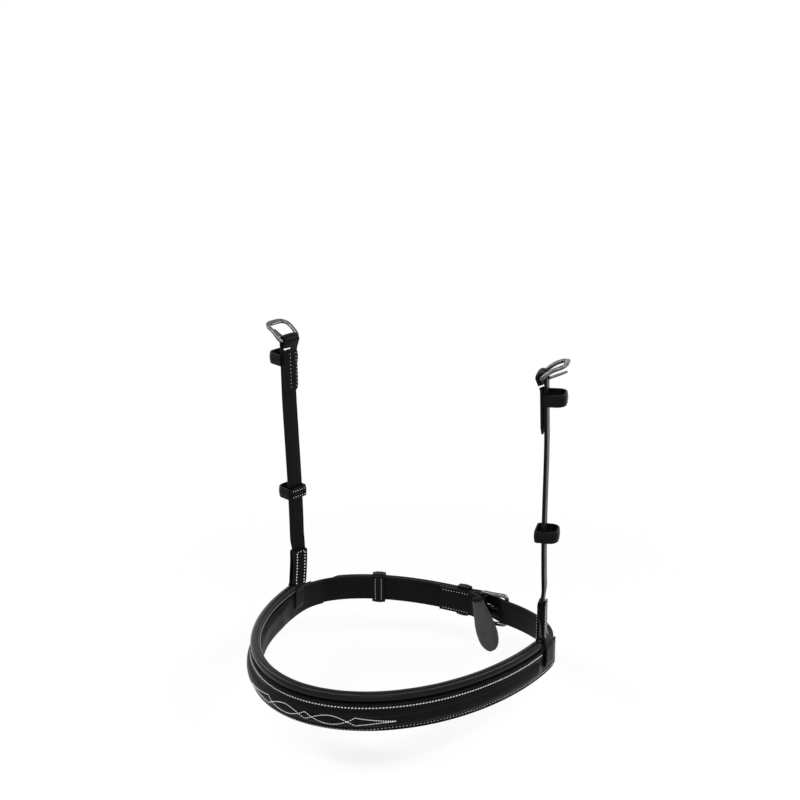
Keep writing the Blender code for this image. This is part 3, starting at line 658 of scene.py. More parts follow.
@dataclass
class Line:
    """A line in the row frame, with the directions of the stock's thickness and width along it."""

    at: Array
    points: Array
    tangent: Array
    outward: Array
    across: Array

    @classmethod
    def through(
        cls, points: Iterable[Sequence[float]], across: Sequence[float] | Array, at: Array | None = None
    ) -> "Line":
        """Make a line through points.

        Args:
            points: Points in order.
            across: The way of the stock's width, one vector or one for each point.
            at: How far along the stock each point is; its real distance if left out.

        Returns:
            The line.
        """
        places = np.array([tuple(point) for point in points], float)
        if at is None:
            at = distances(places)
        tangent = unit(np.gradient(places, at, axis=0))
        sideways = np.broadcast_to(np.asarray(across, float), places.shape)
        outward = unit(np.cross(tangent, sideways))
        return cls(at, places, tangent, outward, np.cross(outward, tangent))

    def frame(self, x: Array) -> tuple[Array, Array, Array, Array]:
        """Where distances along the stock are, and the directions there.

        Args:
            x: Distances along the stock.

        Returns:
            Points, tangents, outward directions and across directions.
        """
        held = np.clip(x, self.at[0], self.at[-1])
        found = [
            np.stack([np.interp(held, self.at, column[:, axis]) for axis in range(3)], axis=-1)
            for column in (self.points, self.tangent, self.outward, self.across)
        ]
        point, tangent, outward, across = found
        tangent, outward, across = unit(tangent), unit(outward), unit(across)
        return point + tangent * (x - held)[:, None], tangent, outward, across

    def place(self, stock: Array) -> Array:
        """Where points of the straight stock go on the line."""
        point, _, outward, across = self.frame(stock[:, 0])
        return point + outward * stock[:, 1:2] + across * stock[:, 2:3]

    @property
    def length(self) -> float:
        """How much stock the line takes."""
        return float(self.at[-1])


def store_map(piece: Piece, mapped: Array) -> None:
    """Give a piece a UV map in metres.

    Args:
        piece: The piece.
        mapped: One (along, across) row for each vertex.
    """
    layers = piece.data.uv_layers
    layer = layers[0] if layers else layers.new(name="stock")
    corners = np.empty(len(piece.data.loops), np.int32)
    piece.data.loops.foreach_get("vertex_index", corners)
    layer.data.foreach_set("uv", mapped[corners].astype(np.float32).ravel())


def finish_mesh(piece: Piece, sharp_angle: float = 40.0, merge: float = 0.0) -> None:
    """Close a bent piece: merge meeting points, turn its faces outwards and shade it smooth.

    Args:
        piece: The piece.
        sharp_angle: Edges sharper than this, in degrees, stay sharp.
        merge: The distance within which points are merged; none are at zero.
    """
    edit(piece)
    bpy.ops.mesh.select_all(action="SELECT")
    if merge > 0:
        bpy.ops.mesh.remove_doubles(threshold=merge)
    bpy.ops.mesh.normals_make_consistent(inside=False)
    bpy.ops.object.mode_set(mode="OBJECT")
    bpy.ops.object.shade_smooth_by_angle(angle=math.radians(sharp_angle))
    piece.select_set(False)


def bend(piece: Piece, line: Line, merge: float = 0.0, sharp_angle: float = 40.0) -> None:
    """Bend straight stock along a line and finish it; its UV map keeps where it was while straight.

    Args:
        piece: Straight stock.
        line: The line that it follows.
        merge: As in finish_mesh.
        sharp_angle: As in finish_mesh.
    """
    places = coordinates(piece)
    store_map(piece, np.stack([places[:, 0], places[:, 2] + places[:, 1]], axis=1))
    set_coordinates(piece, line.place(places))
    finish_mesh(piece, sharp_angle, merge)


def reshape(piece: Piece, change: Shape) -> None:
    """Move the vertices of a piece by a function of their positions."""
    set_coordinates(piece, change(coordinates(piece)))


def open_ends(piece: Piece) -> None:
    """Take the two end caps off straight stock, so that its ends can meet.

    Args:
        piece: The stock.
    """
    mesh = edit(piece)
    bpy.ops.mesh.select_mode(type="FACE")
    for face in mesh.faces:
        face.select_set(abs(face.normal.x) > 0.9)
    bmesh.update_edit_mesh(piece.data)
    bpy.ops.mesh.delete(type="ONLY_FACE")
    bpy.ops.object.mode_set(mode="OBJECT")


def round_tip(length: float, nose: float, power: float) -> Shape:
    """A change that narrows the end of straight stock to a rounded tip.

    Args:
        length: The stock's length.
        nose: How long the tip is.
        power: 2 for a round tip, lower for a more pointed one.

    Returns:
        The change.
    """

    def change(places: Array) -> Array:
        """Narrow the width within the tip."""
        gone = (places[:, 0] - (length - nose)) / nose
        left = (1 - np.clip(gone, 0.0, 0.999) ** power) ** (1 / power)
        shaped = places.copy()
        shaped[:, 2] *= left
        return shaped

    return change


def punch(piece: Piece, at: float, length: float, width: float) -> None:
    """Punch a round or oval hole through straight stock.

    Args:
        piece: The stock.
        at: Where the hole's middle is along it.
        length: The hole's length along the stock.
        width: The hole's width across it.
    """
    deselect_all()
    bpy.ops.mesh.primitive_cylinder_add(
        vertices=24, radius=width / 2, depth=8 * MM, location=(at, 0.0, 0.0), rotation=(math.pi / 2, 0.0, 0.0)
    )
    cutter = bpy.context.object
    cutter.scale = (length / width, 1.0, 1.0)
    bpy.ops.object.transform_apply(location=True, rotation=True, scale=True)
    pick(piece)
    hole = piece.modifiers.new("hole", "BOOLEAN")
    hole.operation = "DIFFERENCE"
    hole.solver = "EXACT"
    hole.object = cutter
    bpy.ops.object.modifier_apply(modifier=hole.name)
    bpy.data.objects.remove(cutter, do_unlink=True)


def smooth(share: Array | float) -> Array:
    """0 to 1 with level ends."""
    held = np.clip(share, 0.0, 1.0)
    return held * held * (3 - 2 * held)


def wobble(places: Array, size: float, spacing: float, seed: float) -> Array:
    """A slow, even unevenness of hand work, as a signed distance at each place.

    Args:
        places: Where it is wanted.
        size: How much there is of it.
        spacing: How far apart its swells are.
        seed: What shifts its pattern.

    Returns:
        The unevenness at each place.
    """
    turns = places @ np.array([[1.0, 0.7, 0.3], [-0.4, 1.0, 0.8], [0.5, -0.6, 1.0]]).T
    waves = np.sin(turns * (2 * math.pi / spacing) + seed * np.array([1.0, 2.3, 4.1]))
    return size * waves.sum(axis=1) / 3


# Stitching


@dataclass(frozen=True)
class Stitch:
    """One stitch of waxed thread: a grain of thread whose ends sink into their holes."""

    length: float = 1.55 * MM
    thickness: float = 0.72 * MM
    pitch: float = 2.2 * MM
    slant: float = 0.12

    def template(self) -> tuple[Array, list[tuple[int, ...]]]:
        """The stitch's points and faces, along X from -1 to 1, with Z away from the leather.

        Returns:
            The points, one row each, and the faces by the numbers of their points.
        """
        deselect_all()
        bpy.ops.mesh.primitive_uv_sphere_add(
            segments=8, ring_count=6, radius=1.0, rotation=(0.0, math.pi / 2, 0.0)
        )
        grain = bpy.context.object
        bpy.ops.object.transform_apply(location=False, rotation=True, scale=False)
        places = coordinates(grain)
        ends = np.clip(np.abs(places[:, 0]), 0.0, 0.999)
        fuller = np.sqrt((1 - ends**3) / (1 - ends**2))
        places[:, 1:] *= np.minimum(fuller, 1.6)[:, None]
        places[:, 2] -= 0.55 * ends**2
        faces = [tuple(polygon.vertices) for polygon in grain.data.polygons]
        bpy.data.objects.remove(grain, do_unlink=True)
        return places, faces

    def sew(self, name: str, path: Path, start: float, end: float) -> Piece:
        """Sew a row of stitches along a path.

        Args:
            name: The row's name.
            path: Gives points and outward directions at distances along it.
            start: Where the row starts.
            end: Where the row ends.

        Returns:
            The row.
        """
        places, faces = self.template()
        count = max(1, int((end - start) / self.pitch))
        middles = start + (np.arange(count) + 0.5) * (end - start) / count
        half = self.length / 2
        ahead, _ = path(middles + half)
        behind, _ = path(middles - half)
        centre, outward = path(middles)
        along = unit(ahead - behind)
        sideways = unit(np.cross(outward, along))
        along = unit(along + self.slant * sideways)
        sideways = unit(np.cross(outward, along))
        lifted = unit(np.cross(along, sideways))
        thick = self.thickness / 2
        grains = (
            centre[:, None, :]
            + along[:, None, :] * (places[None, :, :1] * half)
            + sideways[:, None, :] * (places[None, :, 1:2] * thick)
            + lifted[:, None, :] * (places[None, :, 2:3] * thick)
        )
        number = len(places)
        joined = [tuple(index + number * copy for index in face) for copy in range(count) for face in faces]
        data = bpy.data.meshes.new(name)
        data.from_pydata([tuple(place) for place in grains.reshape(-1, 3)], [], joined)
        row = bpy.data.objects.new(name, data)
        bpy.context.scene.collection.objects.link(row)
        round_the_thread = np.arctan2(places[:, 2], places[:, 1]) * thick
        mapped = np.stack([np.tile(places[:, 0] * half, count), np.tile(round_the_thread, count)], axis=1)
        store_map(row, mapped)
        finish_mesh(row, 60.0)
        return row


def row_on(line: Line, out: float, across: float) -> Path:
    """The path of a straight row on one face of a strap.

    Args:
        line: The strap's line.
        out: How far out from the line the row lies; below zero it is on the inner face.
        across: How far across the strap the row lies.

    Returns:
        A path for Stitch.sew.
    """

    def path(x: Array) -> tuple[Array, Array]:
        """Points of the row and the way that they face."""
        point, _, outward, sideways = line.frame(x)
        facing = outward if out >= 0 else -outward
        return point + outward * out + sideways * across, facing

    return path


def row_across(line: Line, out: float, at: float) -> Path:
    """The path of a short row that runs across a strap, measured across it from its middle.

    Args:
        line: As in row_on.
        out: As in row_on.
        at: Where the row is along the strap.

    Returns:
        A path for Stitch.sew.
    """

    def path(x: Array) -> tuple[Array, Array]:
        """Points of the row and the way that they face."""
        point, _, outward, sideways = line.frame(np.full(len(x), at))
        facing = outward if out >= 0 else -outward
        return point + outward * out + sideways * x[:, None], facing

    return path


# The ring


@dataclass(frozen=True)
class RingPlan:
    """The ring that the nosepiece and jaw strap follow: two half superellipses on the widest line.

    A run is a distance along it, from the front of the nose towards the horse's left and on round.
    """

    half_width: float = 103.5 * MM
    front_depth: float = 149.0 * MM
    rear_depth: float = 61.0 * MM
    front_fullness: float = 2.0
    rear_fullness: float = 2.18
    steps: int = 720

    def half(self) -> tuple[Array, Array, Array]:
        """Plan X, plan Y and run of points from the front to the back on the horse's left.

        Returns:
            The three, each with one value for each point.
        """
        turn = np.linspace(0, math.pi, self.steps + 1)
        front = turn < math.pi / 2
        depth = np.where(front, self.front_depth, self.rear_depth)
        power = 2 / np.where(front, self.front_fullness, self.rear_fullness)
        x = self.half_width * np.abs(np.sin(turn)) ** power
        y = -depth * np.sign(np.cos(turn)) * np.abs(np.cos(turn)) ** power
        runs = np.concatenate(([0.0], np.cumsum(np.hypot(np.diff(x), np.diff(y)))))
        return x, y, runs

    @property
    def girth(self) -> float:
        """The ring's whole length."""
        return 2 * float(self.half()[2][-1])

    def line(self, start: float, end: float, out: Shape | float = 0.0, height: float = 0.0) -> Line:
        """A line along the ring.

        Args:
            start: The run where the stock starts.
            end: The run where it ends, which may be the smaller one.
            out: How far outside the strap's middle it runs, one value or a function of the run.
            height: How high it runs.

        Returns:
            The line; the stock's length is measured in run.
        """
        x, y, runs = self.half()
        girth = 2 * runs[-1]
        count = max(3, int(abs(end - start) / (1.0 * MM)))
        wanted = np.linspace(start, end, count)
        margin = 2.0 * MM

        def plan(run: Array) -> Array:
            """Plan X and Y at runs, on either side."""
            folded = (run + girth / 2) % girth - girth / 2
            side = np.where(folded < 0, -1.0, 1.0)
            return np.stack(
                [side * np.interp(np.abs(folded), runs, x), np.interp(np.abs(folded), runs, y)], axis=1
            )

        tangent = unit(plan(wanted + margin) - plan(wanted - margin))
        outward = np.stack([tangent[:, 1], -tangent[:, 0]], axis=1)
        offset = out(wanted) if callable(out) else np.full(count, float(out))
        flat = plan(wanted) + outward * offset[:, None]
        points = np.column_stack([flat, np.full(count, height)])
        up = (0.0, 0.0, 1.0) if end > start else (0.0, 0.0, -1.0)
        return Line.through(points, up, np.abs(wanted - start))

    def matrix(self, run: float, out: float = 0.0, height: float = 0.0) -> Matrix:
        """A placement at a run: X outwards, Y the way of growing run, Z up.

        Args:
            run: Where it is.
            out: How far outside the strap's middle it is.
            height: How high it is.

        Returns:
            The placement.
        """
        line = self.line(run - 3 * MM, run + 3 * MM, out, height)
        point, tangent, outward, _ = line.frame(np.array([3 * MM]))
        return axes_matrix(Vector(point[0]), Vector(outward[0]), Vector(tangent[0]), Vector((0, 0, 1)))


def axes_matrix(origin: Vector, x_axis: Vector, y_axis: Vector, z_axis: Vector) -> Matrix:
    """A placement from an origin and three unit axes."""
    rotation = Matrix((x_axis, y_axis, z_axis)).transposed()
    return Matrix.Translation(origin) @ rotation.to_4x4()


def line_in(matrix: Matrix, even: Array, samples: Array) -> Line:
    """A line through (outward, up) points of a placement's XZ plane.

    Args:
        matrix: The placement, whose Y axis the stock's width follows.
        even: The points in order.
        samples: How far along the stock each of them is.

    Returns:
        The line; its outward side faces the placement's X where it runs along +Z.
    """
    places = [matrix @ Vector((x, 0.0, z)) for x, z in even]
    return Line.through(places, -np.array(matrix.col[1].to_3d()), samples)


def rounded(points: Outline, radius: float) -> Outline:
    """A path whose corners are turned with a radius.

    Args:
        points: The path's corners.
        radius: The radius of every turn.

    Returns:
        The path with an arc in place of each corner.
    """
    corners = [Vector(point) for point in points]
    path: list[tuple[float, float]] = []
    for index, corner in enumerate(corners):
        if index in (0, len(corners) - 1):
            path.append(tuple(corner))
            continue
        before = (corners[index - 1] - corner).normalized()
        after = (corners[index + 1] - corner).normalized()
        half_turn = math.acos(max(-1.0, min(1.0, before.dot(after)))) / 2
        if half_turn > math.radians(89):
            path.append(tuple(corner))
            continue
        middle = corner + (before + after).normalized() * (radius / math.sin(half_turn))
        start = corner + before * (radius / math.tan(half_turn)) - middle
        end = corner + after * (radius / math.tan(half_turn)) - middle
        sweep = start.angle_signed(end)
        for share in np.linspace(0, 1, 9):
            turned = Matrix.Rotation(-sweep * share, 2) @ start
            path.append(tuple(middle + turned))
    return path


# Sub-assemblies


@dataclass
class Workshop:
    """What every sub-assembly needs: the ring, the materials and a record of the pieces made."""

    ring: RingPlan
    materials: dict[Slot, bpy.types.Material]
    made: list[str] = field(default_factory=list)

    def dress(self, piece: Piece, slot: Slot, replaced: Sequence[str]) -> None:
        """Give a finished piece its material.

        Args:
            piece: The piece, in place.
            slot: The record's material slot that it takes its finish from.
            replaced: The solids that it stands for.
        """
        piece.data.materials.clear()
        piece.data.materials.append(self.materials[slot])
        if replaced:
            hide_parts(*replaced)
        self.made.append(piece.name)

    def hand_over(self, piece: Piece, slot: Slot, body: str, *replaced: str) -> None:
        """Dress a piece and give it its body.

        Args:
            piece: As in dress.
            slot: As in dress.
            body: The rigid body that it rides on.
            replaced: As in dress.
        """
        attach(piece, str(body))
        self.dress(piece, slot, replaced)
        LOG.info("%s: %d faces on %s", piece.name, len(piece.data.polygons), body)

    def make(
        self,
        name: str,
        section: Outline,
        line: Line,
        parts: int,
        dressed: tuple[str, ...],
        change: Shape | None = None,
        sharp_angle: float = 40.0,
    ) -> Piece:
        """Make a piece from straight stock: cut it, shape it, bend it along its line and hand it over.

        Args:
            name: The piece's name.
            section: The stock's section.
            line: The line that it follows, as long as the stock.
            parts: As in profile_stock.
            dressed: The slot, the body and the solids, as in hand_over.
            change: How the straight stock is shaped, if it is.
            sharp_angle: As in finish_mesh.

        Returns:
            The piece.
        """
        piece = profile_stock(name, section, line.length, parts)
        if change:
            reshape(piece, change)
        bend(piece, line, sharp_angle=sharp_angle)
        self.hand_over(piece, *dressed)
        return piece

    def hand_over_bending(
        self, piece: Piece, slot: Slot, bodies: Sequence[str], reach: Sequence[Vector], *replaced: str
    ) -> None:
        """Dress a piece that joins two bodies, with its placement baked into its mesh; it is attached to
        neither body.

        Args:
            piece: As in dress.
            slot: As in dress.
            bodies: The bodies that it joins.
            reach: Not used; the point where it leaves the first body and the point where it is all on the
                second.
            replaced: As in dress.
        """
        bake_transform(piece)
        self.dress(piece, slot, replaced)
        LOG.info("%s: %d faces between %s and %s", piece.name, len(piece.data.polygons), *bodies)


@dataclass
class Nosepiece:
    """The raised nosepiece: cover, filler, backing, pad, lining and the rolled top edge."""

    shop: Workshop
    strap_width: float = 19.0 * MM
    strap_thickness: float = 2.5 * MM
    cover_thickness: float = 1.4 * MM
    cover_half_length: float = 216.0 * MM
    raised_half_length: float = 190.0 * MM
    raised_fade: float = 10.0 * MM
    backing_half_length: float = 189.0 * MM
    pad_half_length: float = 184.0 * MM
    pad_fade: float = 22.0 * MM
    pad_thickness: float = 2.6 * MM
    pad_end_thickness: float = 0.6 * MM
    lining_thickness: float = 1.2 * MM
    lining_half_length: float = 224.0 * MM
    lining_step: float = 10.0 * MM
    roll_radius: float = 3.6 * MM
    roll_core_radius: float = 2.4 * MM
    roll_setback: float = 1.0 * MM
    roll_height: float = 13.5 * MM
    roll_half_length: float = 191.5 * MM
    roll_taper: float = 5.0 * MM
    roll_end_size: float = 0.72
    roll_foot_share: float = 0.72
    roll_foot_drop: float = 0.55 * MM
    lining_draw: float = 0.62
    lining_crown: float = 0.55
    parts: int = 300
    # (height, rise) points of the raised leather, in millimetres, from the top edge down
    relief: tuple[tuple[float, float], ...] = (
        (9.5, 0.0), (9.0, 0.02), (8.8, -0.16), (8.4, 0.07), (7.7, 0.05), (7.15, -0.12), (6.6, 0.0),
        (6.1, 0.03), (4.6, 0.05), (3.3, 0.04), (2.95, 0.16), (2.72, 0.80), (2.6, 1.30), (2.4, 1.62),
        (2.1, 1.80), (1.2, 2.12), (0.0, 2.46), (-1.6, 2.60), (-3.4, 2.44), (-4.6, 2.05), (-5.4, 1.40),
        (-5.9, 0.62), (-6.2, 0.18), (-6.5, 0.02), (-7.0, -0.04), (-7.35, -0.12), (-7.7, -0.04), (-8.2, 0.0),
        (-9.5, 0.0),
    )  # fmt: skip

    @property
    def backing_inner(self) -> float:
        """How far out the backing's inner face is, less the gap behind it."""
        return -self.strap_thickness / 2 - SEAT_GAP

    @property
    def cover_inner(self) -> float:
        """How far out the cover's inner face is."""
        return self.strap_thickness / 2 + SEAT_GAP

    @property
    def cover_outer(self) -> float:
        """How far out the cover's flat face is."""
        return self.cover_inner + self.cover_thickness

    def fade(self, run: Array, half_length: float, length: float) -> Array:
        """1 along the nosepiece, falling to 0 over its last part on each side."""
        return smooth((half_length - np.abs(run)) / length)

    def rise(self, height: Array) -> Array:
        """How far the raised leather stands out at a height."""
        heights, rises = np.array(self.relief[::-1]).T * MM
        return np.interp(height, heights, rises)

    def build(self) -> None:
        """Build every layer, from the cover to the lining, and the rolled edge."""
        self.build_cover()
        self.build_filler()
        self.build_backing()
        self.build_pad()
        self.build_lining()
        self.build_roll()

    def build_cover(self) -> None:
        """The outer leather, raised over its filler, with a shallow channel for each stitch row."""
        half, edge = self.strap_width / 2, 0.45 * MM
        turned = ((edge, half), (0.3 * edge, half - 0.3 * edge), (0.0, half - edge))
        face = [(self.cover_outer - down, high) for down, high in turned]
        face += [(self.cover_outer, height * MM) for height, _ in self.relief[1:-1]]
        face += [(self.cover_outer - down, -high) for down, high in turned[::-1]]
        back = [(self.cover_inner, float(height)) for height in np.linspace(-half, half, 15)]
        middle = (self.cover_inner + self.cover_outer) / 2
        end = self.cover_half_length

        def raise_centre(places: Array) -> Array:
            """Press the leather up over the filler, which the inner face follows."""
            shaped = places.copy()
            fading = self.fade(places[:, 0] - end, self.raised_half_length, self.raised_fade)
            rise = self.rise(places[:, 2])
            under = np.clip(rise - 0.1 * MM, 0.0, None)
            moved = np.where(places[:, 1] > middle, rise, under)
            shaped[:, 1] += moved * np.where(rise > 0, fading, 1.0)
            return shaped

        dressed = (Slot.BRIDLE, Body.NOSEBAND, "nosepiece_cover")
        line = self.shop.ring.line(-end, end)
        self.shop.make("raised_cover_leather", face + back, line, self.parts, dressed, raise_centre, 55)

    def build_filler(self) -> None:
        """The half-round filler that raises the cover."""
        end = self.raised_half_length - self.raised_fade - 11 * MM
        section = rounded_section(1.7 * MM, 6.0 * MM, 0.8 * MM)
        shift = np.array([0.0, self.cover_inner + 0.9 * MM, -1.6 * MM])
        dressed = (Slot.FOAM, Body.NOSEBAND, "raised_centre_filler")
        line = self.shop.ring.line(-end, end)
        piece = self.shop.make("raised_filler_foam", section, line, 120, dressed, lambda stock: stock + shift)

    def build_backing(self) -> None:
        """The strap that carries every other layer."""
        line = self.shop.ring.line(-self.backing_half_length, self.backing_half_length)
        section = rounded_section(self.strap_thickness, self.strap_width, 0.7 * MM)
        dressed = (Slot.BRIDLE, Body.NOSEBAND, "nosepiece_backing")
        self.shop.make("backing_strap_leather", section, line, self.parts, dressed)

    def pad_depth(self, run: Array) -> Array:
        """How thick the pad is at a run."""
        thinning = self.fade(run, self.pad_half_length, self.pad_fade)
        return self.pad_end_thickness + (self.pad_thickness - self.pad_end_thickness) * thinning

    def build_pad(self) -> None:
        """The soft pad between the backing and the lining."""
        half = self.pad_half_length
        section = rounded_section(self.pad_thickness, self.strap_width - 2 * MM, 1.1 * MM)

        def thin_ends(places: Array) -> Array:
            """Thin the pad towards its ends, on its inner side only."""
            shaped = places.copy()
            share = (places[:, 1] / self.pad_thickness) - 0.5
            shaped[:, 1] = self.backing_inner + share * self.pad_depth(places[:, 0] - half)
            return shaped

        dressed = (Slot.FOAM, Body.NOSEBAND, "nosepiece_pad")
        line = self.shop.ring.line(-half, half)
        piece = self.shop.make("nosepiece_pad_foam", section, line, 160, dressed, thin_ends)

    def build_lining(self) -> None:
        """The lining, crowned over the pad and drawn flat where it is sewn at its edges and ends."""
        half = self.lining_half_length
        section = rounded_section(self.lining_thickness, self.strap_width, 0.5 * MM, across_cuts=14)
        end = self.pad_half_length + self.lining_step

        def crown(places: Array) -> Array:
            """Lay the lining over the pad, and draw it in from where its edges are sewn."""
            run = places[:, 0] - half
            padded = self.pad_depth(run) + SEAT_GAP
            tail = (self.pad_end_thickness + SEAT_GAP) * self.fade(run, end, self.lining_step)
            depth = np.where(np.abs(run) <= self.pad_half_length, padded, tail)
            shaped = places.copy()
            share = np.clip(np.abs(places[:, 2]) / (self.strap_width / 2), 0.0, 1.0)
            beyond = (share - self.lining_crown) / (1 - self.lining_crown)
            drawn_in = 1 - self.lining_draw * smooth(beyond)
            shaped[:, 1] += self.backing_inner - self.lining_thickness / 2 - depth * drawn_in
            shaped[:, 1] += wobble(places, 0.10 * MM, 23 * MM, 1.7) * (share < 0.8)
            return shaped

        dressed = (Slot.LINING, Body.NOSEBAND, "nosepiece_lining")
        line = self.shop.ring.line(-half, half)
        piece = self.shop.make("padded_lining_leather", section, line, self.parts, dressed, crown, 60)

    def build_roll(self) -> None:
        """The soft leather roll along the top edge, with its core, tapered where it is tucked in."""
        half, inset = self.roll_half_length, 3 * MM

        def draw_in(places: Array) -> Array:
            """Taper the roll's ends, flatten its foot and leave it slightly uneven."""
            shaped = places.copy()
            left = half - np.abs(places[:, 0] - half)
            full = np.sqrt(smooth(left / self.roll_taper))
            shaped[:, 1:] *= (self.roll_end_size + (1 - self.roll_end_size) * full)[:, None]
            below = places[:, 2] < -self.roll_foot_share * self.roll_radius
            shaped[:, 2] -= np.where(below, self.roll_foot_drop, 0.0)
            shaped[:, 1:] *= 1 + wobble(places, 0.012, 17 * MM, 0.4)[:, None]
            return shaped

        section = round_section(self.roll_radius, 28)
        line = self.shop.ring.line(-half, half, -self.roll_setback, self.roll_height)
        dressed = (Slot.ROLL, Body.NOSEBAND, "rolled_edge")
        roll = self.shop.make("rolled_top_edge_leather", section, line, self.parts, dressed, draw_in, 70)
        section = round_section(self.roll_core_radius, 12)
        line = self.shop.ring.line(inset - half, half - inset, -self.roll_setback, self.roll_height)
        dressed = (Slot.FOAM, Body.NOSEBAND, "rolled_edge_core")
        core = self.shop.make("rolled_edge_core_cord", section, line, 150, dressed)


@dataclass
class NoseStitching:
    """The nosepiece's two long rows and the fancy stitch on its raised centre."""

    shop: Workshop
    nosepiece: Nosepiece
    upper_height: float = 7.15 * MM
    lower_height: float = -7.35 * MM
    upper_half_length: float = 188.5 * MM
    lower_half_length: float = 209.0 * MM
    upper: Stitch = Stitch(1.45 * MM, 0.62 * MM, 2.2 * MM, 0.5)
    lower: Stitch = Stitch(1.1 * MM, 0.36 * MM, 2.35 * MM)
    fancy: Stitch = Stitch(1.05 * MM, 0.52 * MM, 1.45 * MM, 0.12)
    centre_height: float = -1.6 * MM
    diamond_end: float = 4.6 * MM
    diamond_rise: float = 2.5 * MM
    lobe_end: float = 28.1 * MM
    lobe_rise: float = 3.1 * MM
    kite_apex: float = 32.9 * MM
    kite_rise: float = 2.8 * MM
    kite_end: float = 58.5 * MM
    kite_hollow: float = 1.35
    crossing_lift: float = 0.45 * MM
    tuck: float = 1.35 * MM

    def offset(self, run: Array) -> Array:
        """How far the first fancy thread runs from the raised centre's middle line.

        Args:
            run: Runs from the front of the nose.

        Returns:
            The distances upwards.
        """
        far = np.abs(run)
        diamond = self.diamond_rise * (1 - far / self.diamond_end)
        lobe_share = (far - self.diamond_end) / (self.lobe_end - self.diamond_end)
        lobe = -self.lobe_rise * np.sin(math.pi * np.clip(lobe_share, 0.0, 1.0))
        rising = self.kite_rise * (far - self.lobe_end) / (self.kite_apex - self.lobe_end)
        falling_share = np.clip((self.kite_end - far) / (self.kite_end - self.kite_apex), 0.0, 1.0)
        falling = self.kite_rise * falling_share**self.kite_hollow
        offset = np.where(far < self.diamond_end, diamond, lobe)
        offset = np.where(far > self.lobe_end, rising, offset)
        offset = np.where(far > self.kite_apex, falling, offset)
        return offset

    def build(self) -> None:
        """Sew the rows."""
        line = self.shop.ring.line(-self.lower_half_length, self.lower_half_length)
        out = self.nosepiece.cover_outer
        rows = (
            ("upper_row_stitches", "upper_stitch_row", self.upper, self.upper_height, self.upper_half_length),
            ("lower_row_stitches", "lower_stitch_row", self.lower, self.lower_height, self.lower_half_length),
        )
        for name, node, stitch, height, half in rows:
            start = self.lower_half_length - half
            tuck = self.tuck if node == "lower_stitch_row" else 0.0
            path = self.row_path(line, out, height, tuck)
            row = stitch.sew(name, path, start, start + 2 * half)
            self.shop.hand_over(row, Slot.THREAD, Body.NOSEBAND, node)
        for name, node, sign in (
            ("fancy_stitches_first", "fancy_stitch_under_thread", 1.0),
            ("fancy_stitches_second", "fancy_stitch_over_thread", -1.0),
        ):
            row = self.fancy.sew(name, self.fancy_path(line, sign), -self.kite_end, self.kite_end)
            self.shop.hand_over(row, Slot.THREAD, Body.NOSEBAND, node)

    def row_path(self, line: Line, out: float, height: float, tuck: float) -> Path:
        """The path of a long row, which dips by tuck at the front of the nose.

        Args:
            line: The ring's line behind the nosepiece.
            out: How far out the leather's face is.
            height: How high the row is.
            tuck: How far it dips.

        Returns:
            A path for Stitch.sew.
        """

        def path(x: Array) -> tuple[Array, Array]:
            """Points of the row and the way that they face."""
            point, _, outward, across = line.frame(x)
            far = np.abs(x - self.lower_half_length)
            dip = tuck * (1 - smooth((far - 32 * MM) / (26 * MM)))
            return point + outward * (out + 0.04 * MM) + across * (height - dip)[:, None], outward

        return path

    def fancy_path(self, line: Line, sign: float) -> Path:
        """The path of one fancy thread, lifted where it crosses the other.

        Args:
            line: As in row_path.
            sign: 1 for the first thread and -1 for the second, which lies over it.

        Returns:
            A path for Stitch.sew.
        """

        def path(run: Array) -> tuple[Array, Array]:
            """Points of the thread and the way that they face."""
            offset = self.offset(run)
            height = self.centre_height + sign * offset
            crossing = 1 - smooth(np.abs(offset) / (0.9 * MM))
            lift = self.crossing_lift * crossing if sign < 0 else 0.0
            out = self.nosepiece.cover_outer + self.nosepiece.rise(height) + 0.10 * MM + lift
            point, _, outward, across = line.frame(run + self.lower_half_length)
            step = 0.3 * MM
            slope = (self.nosepiece.rise(height + step) - self.nosepiece.rise(height - step)) / (2 * step)
            facing = unit(outward - across * slope[:, None])
            return point + outward * out[:, None] + across * height[:, None], facing

        return path


